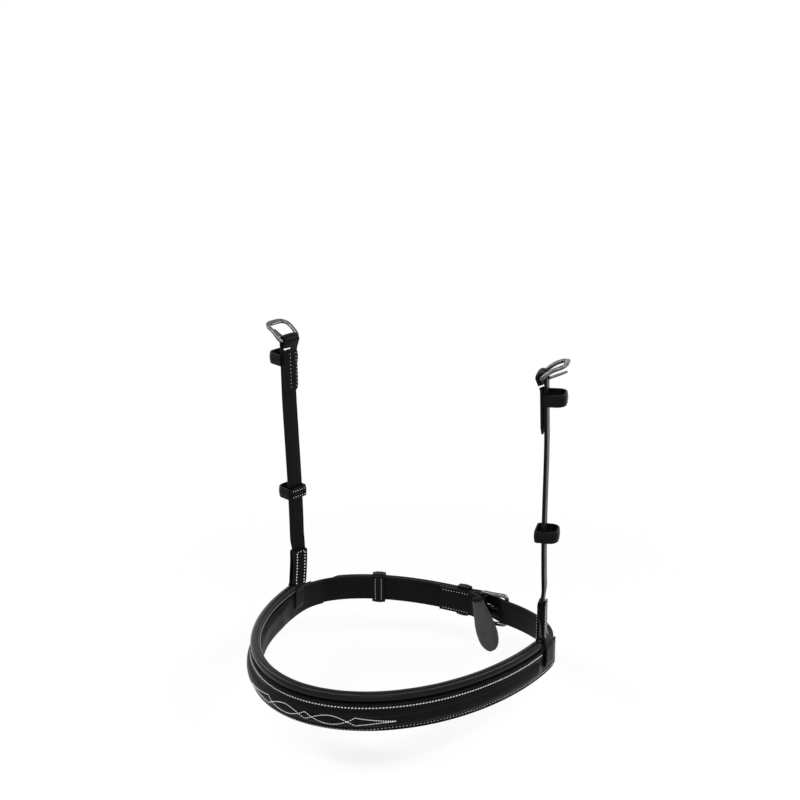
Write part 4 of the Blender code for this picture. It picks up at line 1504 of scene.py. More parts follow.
@dataclass
class JawStrap:
    """The buckle strap, the billet, the rear buckle, its two keepers and the chin guard."""

    shop: Workshop
    width: float = 19.0 * MM
    thickness: float = 2.5 * MM
    start_run: float = 189.3 * MM
    buckle_run: float = 309.0 * MM
    chape_length: float = 36.0 * MM
    chape_row_inset: float = 7.4 * MM
    chape_row_length: float = 23.0 * MM
    root_row_inset: float = 7.2 * MM
    root_row_span: tuple[float, float] = (36.0 * MM, 44.0 * MM)
    tip_run: float = 439.5 * MM
    tip_length: float = 13.0 * MM
    rise_length: float = 21.0 * MM
    settle_length: float = 12.0 * MM
    hold_share: float = 0.25
    bar_gap: float = 0.4 * MM
    wire_radius: float = 1.6 * MM
    frame_reach: float = 20.0 * MM
    tongue_radius: float = 1.1 * MM
    hole_diameter: float = 2.6 * MM
    hole_pitch: float = 29.0 * MM
    hole_setback: float = 7.2 * MM
    hole_in_use_length: float = 15.0 * MM
    keeper_width: float = 10.0 * MM
    keeper_thickness: float = 1.4 * MM
    fixed_keeper_run: float = 326.5 * MM
    running_keeper_run: float = 396.5 * MM
    root_stitch: Stitch = Stitch(1.2 * MM, 0.5 * MM, 2.4 * MM)
    chape_stitch: Stitch = Stitch(0.9 * MM, 0.36 * MM, 2.1 * MM)
    guard_run: float = 309.5 * MM
    guard_out: float = -7.6 * MM
    guard_top: float = 8.0 * MM
    guard_length: float = 42.0 * MM
    guard_thickness: float = 2.4 * MM
    guard_bow: float = 0.9 * MM
    tab_length: float = 9.6 * MM
    tab_radius: float = 2.5 * MM
    guard_slant: float = math.radians(19)
    # (share of the way down, half width in millimetres) points of the guard
    guard_outline: tuple[tuple[float, float], ...] = (
        (0.0, 4.6), (0.1, 5.2), (0.3, 7.4), (0.5, 9.2), (0.65, 9.7), (0.78, 9.1), (0.86, 8.0), (0.93, 6.2),
        (0.97, 4.2), (0.99, 2.4), (1.0, 0.3),
    )  # fmt: skip

    @property
    def ply_step(self) -> float:
        """How far apart two plies of strap lie."""
        return self.thickness + SEAT_GAP

    @property
    def fold_radius(self) -> float:
        """The radius of the strap's middle where it turns round the buckle's bar."""
        return self.wire_radius + self.bar_gap + self.thickness / 2

    def billet_out(self, run: Array) -> Array:
        """How far outwards the billet lies at a run.

        Args:
            run: Runs along the ring.

        Returns:
            The distances outwards.
        """
        crest = self.fold_radius - self.ply_step / 2 + self.ply_step
        rising = crest * smooth((run - self.buckle_run + self.rise_length) / self.rise_length)
        settled = smooth((run - self.buckle_run) / self.settle_length - self.hold_share)
        return np.where(run < self.buckle_run, rising, crest + (self.ply_step - crest) * settled)

    def build(self) -> None:
        """Build every piece of the jaw strap."""
        self.build_billet()
        self.build_buckle_strap()
        self.build_buckle()
        self.build_keepers()
        self.build_guard()

    def billet_line(self) -> Line:
        """The billet's line, from the nosepiece to its tip."""
        return self.shop.ring.line(self.start_run, self.tip_run, self.billet_out)

    def build_billet(self) -> None:
        """The billet, holed and cut to a rounded point while it is straight."""
        line = self.billet_line()
        section = rounded_section(self.thickness, self.width, 0.75 * MM, crease=0.14 * MM)
        piece = profile_stock("billet_leather", section, line.length, 300)
        reshape(piece, round_tip(line.length, self.tip_length, 1.8))
        in_use = self.buckle_run - self.hole_setback - self.start_run
        for index in range(-1, 4):
            length = self.hole_in_use_length if index == 0 else 1.15 * self.hole_diameter
            punch(piece, in_use + index * self.hole_pitch, length, self.hole_diameter)
        bend(piece, line)
        self.shop.hand_over(piece, Slot.BRIDLE, Body.NOSEBAND, "billet_strap")
        for number, across in ((1, self.root_row_inset), (2, -self.root_row_inset)):
            path = row_on(line, -self.thickness / 2, across)
            sewn = self.root_stitch.sew(f"billet_root_stitches_{number}", path, *self.root_row_span)
            self.shop.hand_over(sewn, Slot.THREAD, Body.NOSEBAND)

    def buckle_strap_line(self) -> Line:
        """The buckle strap's line: up to the buckle, round its bar and back along its inner side.

        Returns:
            The line.
        """
        flare = self.buckle_run + 8 * MM
        girth = self.shop.ring.girth
        outer = self.shop.ring.line(girth - self.start_run, flare)
        inner = self.shop.ring.line(flare, self.buckle_run + self.chape_length, -self.ply_step)
        bar = self.shop.ring.matrix(self.buckle_run, -self.ply_step / 2)
        fold = []
        for angle in np.linspace(0, math.pi, 17):
            x, ahead = self.fold_radius * math.cos(angle), self.fold_radius * math.sin(angle)
            fold.append(bar @ Vector((x, -ahead, 0.0)))
        eased, samples = evened([*outer.points, *fold, *inner.points], 420, (1, 2, 3, 2, 1), 1)
        return Line.through(eased, (0.0, 0.0, -1.0), samples)

    def build_buckle_strap(self) -> None:
        """The buckle strap, turned round the buckle's bar and slotted for the tongue."""
        line = self.buckle_strap_line()
        section = rounded_section(self.thickness, self.width, 0.75 * MM, crease=0.14 * MM)
        piece = profile_stock("buckle_strap_leather", section, line.length, 360)
        bar_at = self.shop.ring.girth - self.start_run - self.buckle_run + 4.4 * MM
        punch(piece, bar_at, 20 * MM, 2 * (self.tongue_radius + 0.6 * MM))
        bend(piece, line)
        self.shop.hand_over(piece, Slot.BRIDLE, Body.NOSEBAND, "buckle_strap")
        end = line.length - 2 * MM
        for number, across in ((1, self.chape_row_inset), (2, -self.chape_row_inset)):
            path = row_on(line, self.thickness / 2, across)
            name = f"chape_stitches_{number}"
            sewn = self.chape_stitch.sew(name, path, end - self.chape_row_length, end)
            self.shop.hand_over(sewn, Slot.THREAD, Body.NOSEBAND)

    def buckle_matrix(self) -> tuple[Matrix, float]:
        """The rear buckle's placement, origin on its bar and Z towards its far bar, and its length.

        Returns:
            The placement and the length.
        """
        bar = self.shop.ring.matrix(self.buckle_run, -self.ply_step / 2).translation
        out = self.thickness / 2 + SEAT_GAP + self.wire_radius
        far = self.shop.ring.matrix(self.buckle_run - self.frame_reach, out).translation
        along = (far - bar).normalized()
        turned = axes_matrix(bar, Vector((-along.y, along.x, 0.0)), Vector((0.0, 0.0, 1.0)), along)
        return turned, (far - bar).length

    def build_buckle(self) -> None:
        """The rear buckle's wire frame and its tongue."""
        matrix, length = self.buckle_matrix()
        wires = (self.wire_radius, self.tongue_radius)
        buckle = WireBuckle(self.shop, *wires, self.width, length, camber=0.9 * MM)
        buckle.build_frame("rear_buckle_wire", matrix, Body.NOSEBAND, "rear_buckle_frame")
        buckle.build_tongue("rear_buckle_pin", matrix, Body.NOSEBAND, "rear_buckle_tongue")

    def build_keepers(self) -> None:
        """The fixed keeper by the buckle and the running keeper on the billet's end."""
        half = self.width / 2 + SLIDING_GAP
        front = self.ply_step + self.thickness / 2 + SLIDING_GAP
        upright = Matrix.Rotation(math.pi / 2, 4, "X")
        place = self.shop.ring.matrix(self.fixed_keeper_run) @ upright
        band = (self.shop, self.keeper_width, self.keeper_thickness)
        turn = 1.9 * MM
        fixed = Keeper(*band, -self.ply_step / 2, front, half, turn, True)
        fixed.build("rear_fixed_keeper_leather", place, Body.NOSEBAND, "rear_fixed_keeper")
        place = self.shop.ring.matrix(self.running_keeper_run) @ upright
        back = -self.thickness / 2 - SLIDING_GAP
        running = Keeper(*band, back, front, half, turn)
        running.build("rear_running_keeper_leather", place, Body.REAR_KEEPER, "rear_running_keeper")
        running.sew_back("rear_running_keeper_stitches", place, Body.REAR_KEEPER)

    def build_guard(self) -> None:
        """The suede guard that hangs on the buckle's inner side, wider in its middle, with a round end."""
        ring = self.shop.ring.matrix(self.guard_run, self.guard_out, self.guard_top)
        outward, along, up = (ring.col[index].to_3d() for index in range(3))
        place = axes_matrix(ring.translation, along, up, outward) @ Matrix.Rotation(-self.guard_slant, 4, "Z")
        half_width = 1 * MM
        section = rounded_section(self.guard_thickness, 2 * half_width, 0.7 * MM, across_cuts=10)
        shares, widths = np.array(self.guard_outline).T

        def outline(places: Array) -> Array:
            """Cut the guard to its outline and bow it a little."""
            down = places[:, 0]
            shaped = places.copy()
            shaped[:, 2] *= np.interp(down, shares * self.guard_length, widths * MM) / half_width
            shaped[:, 1] += self.guard_bow * np.sin(math.pi * down / self.guard_length)
            return shaped

        drop = [place @ Vector((0.0, -depth, 0.0)) for depth in np.linspace(0, self.guard_length, 40)]
        line = Line.through(drop, np.array(place.col[0].to_3d()))
        dressed = (Slot.SUEDE, Body.GUARD, "chin_guard")
        self.shop.make("chin_guard_suede", section, line, 60, dressed, outline, 50)
        self.build_guard_tab(place)

    def build_guard_tab(self, place: Matrix) -> None:
        """The rolled tab at the guard's top, by which it hangs.

        Args:
            place: The guard's placement.
        """
        length, half = self.tab_length, self.tab_length / 2

        def round_ends(places: Array) -> Array:
            """Round the tab's two ends."""
            left = np.minimum(places[:, 0], length - places[:, 0])
            full = np.sqrt(np.clip(1 - (1 - np.clip(left / (1.8 * MM), 0.02, 1)) ** 2, 0, 1))
            shaped = places.copy()
            shaped[:, 1:] *= full[:, None]
            return shaped

        middle = [place @ Vector((offset, -0.6 * MM, 0.2 * MM)) for offset in np.linspace(-half, half, 9)]
        line = Line.through(middle, np.array(place.col[2].to_3d()))
        section = round_section(self.tab_radius, 18, 0.8)
        self.shop.make("chin_guard_tab", section, line, 16, (Slot.BRIDLE, Body.GUARD), round_ends, 70)


@dataclass
class WireBuckle:
    """A buckle bent from round wire, with a tongue hooked round its bar."""

    shop: Workshop
    wire_radius: float
    tongue_radius: float
    strap_width: float
    length: float
    camber: float = 0.0
    far_bar_share: float = 1.0
    tongue_overhang: float = 0.9 * MM
    corner_radius: float = 3.2 * MM
    far_radius: float = 3.2 * MM
    side_gap: float = 0.7 * MM
    bar_gap: float = 0.4 * MM

    def build_frame(self, name: str, matrix: Matrix, body: str, node: str) -> None:
        """The closed frame, arched along its sides and thicker at its far bar.

        Args:
            name: The piece's name.
            matrix: Its placement, whose Y is the bar and Z points at the far bar.
            body: The body that it rides on.
            node: The solid that it replaces.
        """
        half = self.strap_width / 2 + self.side_gap + self.wire_radius
        high = self.length
        far_end = rounded(((half, high / 2), (half, high), (-half, high), (-half, high / 2)), self.far_radius)
        near_left = rounded(((0.0, 0.0), (half, 0.0), (half, high / 2)), self.corner_radius)
        near_right = rounded(((-half, high / 2), (-half, 0.0), (0.0, 0.0)), self.corner_radius)
        even, samples = evened(near_left[:-1] + far_end + near_right[1:], 161)
        bulge = self.camber * np.sin(math.pi * np.clip(even[:, 1] / high, 0, 1))
        points = [matrix @ Vector((-arch, y, z)) for (y, z), arch in zip(even, bulge)]
        line = Line.through(points, np.array(matrix.col[0].to_3d()), samples)
        line.tangent[0] = line.tangent[-1] = unit(line.tangent[0] + line.tangent[-1])
        line.outward[0] = line.outward[-1]
        line.across[0] = line.across[-1]
        stock = profile_stock(name, round_section(self.wire_radius, 16), samples[-1], 160)
        open_ends(stock)
        # the far bar is thickest in its middle and fades out where the sides begin
        far = smooth((even[:, 1] / high - 0.86) / 0.12) * (1 - (np.abs(even[:, 0]) / half) ** 4)

        def flatten(places: Array) -> Array:
            """Thicken the far bar outwards and narrow it along the frame."""
            share = np.interp(places[:, 0], samples, far)
            shaped = places.copy()
            shaped[:, 1] *= 1 + (self.far_bar_share - 1) * share
            shaped[:, 2] *= 1 - 0.3 * min(self.far_bar_share - 1, 1) * share
            return shaped

        reshape(stock, flatten)
        bend(stock, line, merge=0.05 * MM, sharp_angle=80)
        self.shop.hand_over(stock, Slot.STEEL, body, node)

    def build_tongue(self, name: str, matrix: Matrix, body: str, node: str) -> None:
        """The tongue, curled round the bar, straight along the frame and rounded at its tip.

        Args:
            name: The piece's name.
            matrix: Its placement, whose Y is the bar and Z points along the tongue.
            body: The body that it rides on.
            node: The solid that it replaces.
        """
        hook = self.wire_radius + self.tongue_radius + self.bar_gap
        turns = np.linspace(-math.radians(250), 0.0, 24)
        path = [(hook * math.cos(turn), hook * math.sin(turn)) for turn in turns]
        tip = self.wire_radius + self.tongue_radius + SEAT_GAP
        end = self.length + self.tongue_overhang
        path += [(hook + (tip - hook) * share, end * share) for share in np.linspace(0.05, 1.0, 12)]
        whole = distances(np.array(path))[-1]
        line = line_in(matrix, *evened(path, int(whole / (0.3 * MM))))

        def round_ends(places: Array) -> Array:
            """Round both ends, and flatten the tip where it lies on the frame."""
            left = np.minimum(whole - places[:, 0], places[:, 0])
            share = np.clip(left / (0.9 * self.tongue_radius), 0.03, 1.0)
            shaped = places.copy()
            shaped[:, 1:] *= np.sqrt(1 - (1 - share) ** 2)[:, None]
            full = smooth((whole - places[:, 0]) / (6 * MM))
            shaped[:, 1] *= 0.78 + 0.22 * full
            return shaped

        section = round_section(self.tongue_radius, 14)
        self.shop.make(name, section, line, 90, (Slot.STEEL, body, node), round_ends, 80)


@dataclass
class Keeper:
    """A leather band round a strap, with two tooled lines along its front."""

    shop: Workshop
    width: float
    thickness: float
    back: float
    front: float
    half_width: float
    front_radius: float
    open_back: bool = False
    back_radius: float = 1.8 * MM
    tooled_inset: float = 1.7 * MM
    tooled_depth: float = 0.30 * MM
    crown: float = 0.42 * MM
    row_inset: float = 2.35 * MM
    stitch: Stitch = Stitch(0.65 * MM, 0.52 * MM, 1.9 * MM)

    def outline(self) -> Outline:
        """The middle of the band, from the middle of its back round and home again.

        Returns:
            Its (outward, across) points.
        """
        grow = self.thickness / 2
        low, high, side = self.back - grow, self.front + grow, self.half_width + grow
        if self.open_back:
            corners = [(self.back, side), (high, side), (high, -side), (self.back, -side)]
            return rounded(corners, self.front_radius)
        corners = [(low, 0.0), (low, side), (high, side), (high, -side), (low, -side), (low, 0.0)]
        path = rounded(corners[:3], self.back_radius)[:-1]
        path += rounded(corners[1:5], self.front_radius)[1:-1]
        return path + rounded(corners[3:], self.back_radius)[1:]

    def line(self, place: Matrix) -> Line:
        """The band's line in a placement: X outwards, Y across the strap and Z along it.

        Args:
            place: The placement.

        Returns:
            The line.
        """
        even, samples = evened(self.outline(), 140)
        points = [place @ Vector((x, y, 0.0)) for x, y in even]
        return Line.through(points, -np.array(place.col[2].to_3d()), samples)

    def build(self, name: str, place: Matrix, body: str, node: str) -> None:
        """Build the band.

        Args:
            name: The piece's name.
            place: Its placement.
            body: The body that it rides on.
            node: The solid that it replaces.
        """
        line = self.line(place)
        section = rounded_section(self.thickness, self.width, 0.55 * MM, across_cuts=24)
        stock = profile_stock(name, section, line.length, 150)
        line_at = self.width / 2 - self.tooled_inset

        def tool(places: Array) -> Array:
            """Crown the front and tool its two lines."""
            off = np.abs(np.abs(places[:, 2]) - line_at)
            groove = self.tooled_depth * np.exp(-((off / (0.38 * MM)) ** 2))
            crown = self.crown * (1 - (places[:, 2] / (self.width / 2)) ** 2)
            shaped = places.copy()
            shaped[:, 1] += np.where(places[:, 1] > 0.2 * self.thickness, crown - groove, 0.0)
            return shaped

        reshape(stock, tool)
        if not self.open_back:
            open_ends(stock)
        bend(stock, line, merge=0.0 if self.open_back else 0.03 * MM, sharp_angle=55)
        self.shop.hand_over(stock, Slot.BRIDLE, body, node)

    def sew_back(self, name: str, place: Matrix, body: str) -> None:
        """Two rows across the band's back, where its ends are joined.

        Args:
            name: The rows' name, without its number.
            place: The band's placement.
            body: The body that they ride on.
        """
        line = self.line(place)
        reach = self.half_width * 0.9
        for number, across in ((1, self.row_inset), (2, -self.row_inset)):

            def path(x: Array, across: float = across) -> tuple[Array, Array]:
                """Points of the row and the way that they face."""
                point, _, outward, sideways = line.frame(np.mod(x, line.length))
                lift = self.thickness / 2 + 0.34 * MM
                return point + outward * lift + sideways * across, outward

            row = self.stitch.sew(f"{name}_{number}", path, -reach, reach)
            self.shop.hand_over(row, Slot.THREAD, body)


@dataclass
class Hanger:
    """One hanger: its loop through the nosepiece, the strap, the buckle and the two keepers."""

    shop: Workshop
    side: Side
    run: float = 197.3 * MM
    width: float = 13.0 * MM
    thickness: float = 2.2 * MM
    loop_thickness: float = 2.7 * MM
    chape_shift: float = 1.5 * MM
    plies_out: float = -2.1 * MM
    slot_height: float = -3.8 * MM
    slot_clearance: float = 0.25 * MM
    backing_thickness: float = 2.5 * MM
    lining_thickness: float = 1.2 * MM
    cover_thickness: float = 1.4 * MM
    shoulder_height: float = 11.0 * MM
    closing_height: float = 18.5 * MM
    neck_height: float = 45.0 * MM
    twist: float = math.radians(16)
    top: tuple[float, float, float] = (100.5 * MM, -10.8 * MM, 209.3 * MM)
    bow: float = -0.9 * MM
    chape_length: float = 42.0 * MM
    wire_radius: float = 1.5 * MM
    tongue_radius: float = 1.0 * MM
    bar_gap: float = 0.4 * MM
    frame_length: float = 19.0 * MM
    frame_lean: float = math.radians(60)
    tongue_lean: float = math.radians(68)
    keeper_width: float = 8.5 * MM
    keeper_thickness: float = 1.4 * MM
    arch_radius: float = 5.5 * MM
    fixed_keeper_drop: float = 15.0 * MM
    fixed_keeper_reach: float = 16.5 * MM
    running_keeper_reach: float = 11.5 * MM
    running_keeper_slack: float = 2.2 * MM
    ply_thickness: float = 1.6 * MM
    loop_end_skive: float = 0.35
    loop_press: float = 0.36
    loop_corner_size: float = 0.80
    loop_waist: float = 0.10
    loop_row_length: float = 25.5 * MM
    loop_row_inset: float = 3.8 * MM
    loop_inner_stitch: Stitch = Stitch(1.25 * MM, 0.8 * MM, 2.2 * MM)
    loop_outer_stitch: Stitch = Stitch(1.1 * MM, 0.56 * MM, 2.2 * MM)
    chape_skive: float = 0.5
    chape_corner_size: float = 0.72
    chape_stitch: Stitch = Stitch(0.8 * MM, 0.34 * MM, 2.6 * MM)
    tack_stitch: Stitch = Stitch(1.5 * MM, 1.25 * MM, 1.2 * MM, 0.0)
    root_thickness: float = 0.35
    root_width: float = 0.93
    root_height: float = 20.0 * MM
    settle_height: float = 12.0 * MM

    @property
    def body(self) -> str:
        """The hanger's rigid body."""
        return f"{self.side.prefix}_hanger"

    @property
    def running_keeper_drop(self) -> float:
        """How far below the bar the running keeper was left."""
        return 114.0 * MM if self.side is Side.LEFT else 119.5 * MM

    @property
    def loop_lean(self) -> float:
        """How far forwards of its top the loop's foot stands."""
        return 0.0 if self.side is Side.LEFT else 3.6 * MM

    @property
    def tack_overrun(self) -> float:
        """How far the bar tack goes on round the strap's edge."""
        return 4.4 * MM if self.side is Side.LEFT else 0.6 * MM

    @property
    def running_keeper_shift(self) -> float:
        """How far outwards the running keeper has been pushed."""
        return -1.3 * MM if self.side is Side.LEFT else 0.5 * MM

    @property
    def ply_half_step(self) -> float:
        """Half the distance between the strap's two plies."""
        return (self.thickness + SEAT_GAP) / 2

    @property
    def loop_half_step(self) -> float:
        """Half the distance between the loop's two plies."""
        return (self.loop_thickness + SEAT_GAP) / 2

    @property
    def fold_radius(self) -> float:
        """The radius of the strap's middle where it turns round the bar."""
        return self.wire_radius + self.bar_gap + self.thickness / 2

    def matrix(self) -> tuple[Matrix, float]:
        """The strap's placement: origin at its neck, X outwards, Y across, Z up; and its length.

        Returns:
            The placement and the length.
        """
        sign = self.side.value
        outward = Vector((sign * math.cos(self.twist), math.sin(self.twist), 0.0))
        plies = self.shop.ring.matrix(sign * self.run, self.plies_out, self.neck_height).translation
        neck = plies + outward * self.loop_half_step
        top = Vector((sign * self.top[0], self.top[1], self.top[2]))
        up = (top - neck).normalized()
        across = up.cross(outward).normalized()
        return axes_matrix(neck, across.cross(up), across, up), (top - neck).length

    def line_out(self, share: float) -> float:
        """How far outwards the strap lies at a share of its way up to the chape."""
        chape = self.ply_half_step + self.chape_shift
        return chape * float(smooth(share)) + self.bow * math.sin(math.pi * share)

    def build(self) -> None:
        """Build every piece of this hanger."""
        self.build_loop()
        self.build_strap()
        self.build_buckle()
        self.build_keepers()

    def loop_line(self) -> Line:
        """The loop's line, from its inner ply's top down through the slot to its outer ply's top.

        Returns:
            The line.
        """
        wall = self.slot_clearance + self.loop_thickness / 2
        inner = self.backing_thickness / 2 + SEAT_GAP + self.lining_thickness + wall
        outer = self.backing_thickness / 2 + SEAT_GAP + self.cover_thickness + wall
        shoulder, closing = self.shoulder_height, self.closing_height
        top = self.neck_height - self.thickness / 2 - SEAT_GAP
        low, high = self.plies_out - self.loop_half_step, self.plies_out + self.loop_half_step
        corners = [
            (low, top),
            (low, closing),
            (-inner, shoulder),
            (-inner, self.slot_height),
            (outer, self.slot_height),
            (outer, shoulder),
            (high, closing),
            (high, top),
        ]
        eased, samples = evened(rounded(corners, 3.0 * MM), 240, (1,) * 7, 4)
        sign = self.side.value
        place = self.shop.ring.matrix(sign * self.run)
        tangent = place.col[1].to_3d()
        level = math.atan2(-tangent.x, tangent.y) if sign > 0 else math.atan2(tangent.x, -tangent.y)
        full = sign * self.twist - level
        points, across = [], []
        for x, z in eased:
            share = float(smooth((z - shoulder) / (closing - shoulder)))
            turn = Matrix.Rotation(share * full, 4, "Z")
            lean = self.loop_lean * (1 - float(smooth(z / (40 * MM))))
            spot = turn @ Vector((x - self.plies_out, 0.0, z)) + Vector((self.plies_out, -sign * lean, 0.0))
            points.append(tuple(place @ spot))
            across.append(tuple(-(place.to_3x3() @ (turn.to_3x3() @ Vector((0.0, 1.0, 0.0))))))
        return Line.through(points, np.array(across), samples)

    def build_loop(self) -> None:
        """The loop: down the inner side, through the slot, up the outer side, its plies sewn together."""
        line = self.loop_line()
        length = line.length
        section = rounded_section(self.loop_thickness, self.width, 0.8 * MM, across_cuts=8)
        face = self.loop_thickness / 2
        plies = self.neck_height - self.thickness / 2 - self.root_height

        def trim(places: Array) -> Array:
            """Thin the plies, press the loop flat in its slot and round its corners."""
            shaped = places.copy()
            from_top = np.minimum(places[:, 0], length - places[:, 0])
            parted = 1 - smooth((from_top - plies) / (4 * MM))
            left = 1 - (1 - self.ply_thickness / self.loop_thickness) * parted
            left *= 1 - self.loop_end_skive * (1 - smooth(from_top / (4 * MM)))
            shaped[:, 1] = face - (face - places[:, 1]) * left
            low = self.loop_press * smooth((from_top - plies - 4 * MM) / (6 * MM))
            shaped[:, 1] = (shaped[:, 1] + face) * (1 - low) - face
            corner = np.sqrt(np.clip(1 - (1 - np.clip(from_top / (2.2 * MM), 0, 1)) ** 2, 0, 1))
            waist = self.loop_waist * smooth((from_top - plies) / (8 * MM))
            size = self.loop_corner_size + (1 - self.loop_corner_size) * corner
            shaped[:, 2] *= size * (1 - waist)
            return shaped

        dressed = (Slot.BRIDLE, Body.NOSEBAND, f"{self.side.prefix}_hanger_loop")
        self.shop.make(f"{self.side.prefix}_loop_leather", section, line, 200, dressed, trim, 50)
        start, inset = 2.0 * MM, self.loop_row_inset
        out = self.loop_thickness / 2 + 0.08 * MM
        prefix = f"{self.side.prefix}_loop"
        # each ply's stitch, where its two rows start and where its row across the top is
        plies = (
            ("inner", self.loop_inner_stitch, start, 1.6 * MM),
            ("outer", self.loop_outer_stitch, length - start - self.loop_row_length, length - 1.6 * MM),
        )
        for ply, stitch, first, _ in plies:
            for number, across in ((1, inset), (2, -inset)):
                name, path = f"{prefix}_{ply}_stitches_{number}", row_on(line, out, across)
                row = stitch.sew(name, path, first, first + self.loop_row_length)
                self.shop.hand_over(row, Slot.THREAD, Body.NOSEBAND)
        for ply, stitch, _, top in plies:
            name = f"{prefix}_{ply}_top_stitches"
            row = stitch.sew(name, row_across(line, out * 0.8, top), -inset, inset)
            self.shop.hand_over(row, Slot.THREAD, Body.NOSEBAND)

    def strap_path(self) -> Outline:
        """The strap's middle, from between the loop's plies up, round the bar and down to the chape's end.

        Returns:
            Its (outward, up) points in the strap's placement.
        """
        _, length = self.matrix()
        straight = length - self.chape_length
        path = []
        for height in np.linspace(self.root_height - self.neck_height, straight, 60):
            settled = float(smooth((height + 2 * MM) / self.settle_height))
            out = self.line_out(max(0.0, height / straight)) - self.loop_half_step * (1 - settled)
            path.append((out, height))
        outer = self.chape_shift + self.ply_half_step
        inner = self.chape_shift - self.ply_half_step
        path.append((outer, length - 8 * MM))
        for angle in np.linspace(0, math.pi, 21):
            path.append((self.fold_radius * math.cos(angle), length + self.fold_radius * math.sin(angle)))
        path.append((inner, length - 8 * MM))
        path.append((inner, straight + self.thickness))
        return path

    def strap_line(self) -> Line:
        """The strap's line, eased where it flares round the bar."""
        return line_in(self.matrix()[0], *evened(self.strap_path(), 420, (1,) * 5, 3))

    def build_strap(self) -> None:
        """The strap, slotted for the tongue, with its chape sewn down."""
        line = self.strap_line()
        matrix, length = self.matrix()
        prefix = self.side.prefix
        section = rounded_section(self.thickness, self.width, 0.65 * MM, crease=0.10 * MM)
        stock = profile_stock(f"{prefix}_hanger_leather", section, line.length, 340)
        chape_end = line.length
        root = self.neck_height - self.root_height

        def skive(places: Array) -> Array:
            """Thin the strap's ends, fill out its fold and round its chape's corners."""
            shaped = places.copy()
            left = chape_end - places[:, 0]
            shaped[:, 1] *= 1 - self.chape_skive * (1 - smooth(left / (6 * MM)))
            thicker = smooth(places[:, 0] / (14 * MM))
            shaped[:, 1] *= self.root_thickness + (1 - self.root_thickness) * thicker
            wider = smooth((places[:, 0] - root) / (6 * MM))
            shaped[:, 2] *= self.root_width + (1 - self.root_width) * wider
            turn = root + length + math.pi * self.fold_radius / 2
            full = np.exp(-(((places[:, 0] - turn) / (5 * MM)) ** 2))
            crown = 0.45 * MM * full * (1 - (places[:, 2] / (self.width / 2)) ** 2)
            shaped[:, 1] += crown * (places[:, 1] > 0)
            corner = np.sqrt(np.clip(1 - (1 - np.clip(left / (3 * MM), 0, 1)) ** 2, 0, 1))
            shaped[:, 2] *= self.chape_corner_size + (1 - self.chape_corner_size) * corner
            return shaped

        reshape(stock, skive)
        bar_at = root + length + 1.2 * MM
        punch(stock, bar_at, 9.5 * MM, 2 * (self.tongue_radius + 0.5 * MM))
        bend(stock, line, sharp_angle=50)
        reach = [matrix @ Vector((0.0, 0.0, height)) for height in (-5 * MM, 7 * MM)]
        bodies = (Body.NOSEBAND, self.body)
        self.shop.hand_over_bending(stock, Slot.BRIDLE, bodies, reach, f"{prefix}_hanger_strap")
        out = self.thickness / 2 + 0.05 * MM
        start, end = chape_end - (self.chape_length - 12 * MM), chape_end - 2 * MM
        front = self.side.value
        for number, across in ((1, 0.5 * MM), (2, -5.0 * MM)):
            path = row_on(line, out, front * across)
            row = self.chape_stitch.sew(f"{prefix}_chape_stitches_{number}", path, start, end)
            self.shop.hand_over(row, Slot.THREAD, self.body)
        edge = self.width / 2

        def round_the_edge(x: Array) -> tuple[Array, Array]:
            """Points of the bar tack, which turns over the strap's edge, and the way that they face."""
            point, _, outward, sideways = line.frame(np.full(len(x), start - 4.6 * MM))
            past = np.clip(x - edge, 0.0, None)[:, None]
            held = np.minimum(x, edge + 0.1 * MM)[:, None] * front
            facing = np.where(past > 0, sideways * front, outward)
            return point + outward * (out + 0.1 * MM - past) + sideways * held, facing

        name, end = f"{prefix}_chape_bar_tack", edge + self.tack_overrun
        bar_tack = self.tack_stitch.sew(name, round_the_edge, 1.2 * MM, end)
        self.shop.hand_over(bar_tack, Slot.THREAD, self.body)

    def build_buckle(self) -> None:
        """The wire frame and the tongue, each leaning out from the strap as the photograph shows."""
        matrix, length = self.matrix()
        bar = matrix @ Matrix.Translation((0.0, 0.0, length))
        buckle = WireBuckle(
            self.shop,
            self.wire_radius,
            self.tongue_radius,
            self.width,
            self.frame_length,
            camber=1.6 * MM,
            far_bar_share=1.55,
            tongue_overhang=-1.6 * MM,
            far_radius=5.6 * MM,
        )
        prefix = self.side.prefix
        leaning = bar @ Matrix.Rotation(self.frame_lean, 4, "Y")
        body = f"{prefix}_hanger_buckle"
        buckle.build_frame(f"{prefix}_buckle_wire", leaning, body, f"{body}_frame")
        leaning = bar @ Matrix.Rotation(self.tongue_lean, 4, "Y")
        buckle.build_tongue(f"{prefix}_buckle_pin", leaning, f"{prefix}_hanger_tongue", f"{body}_tongue")

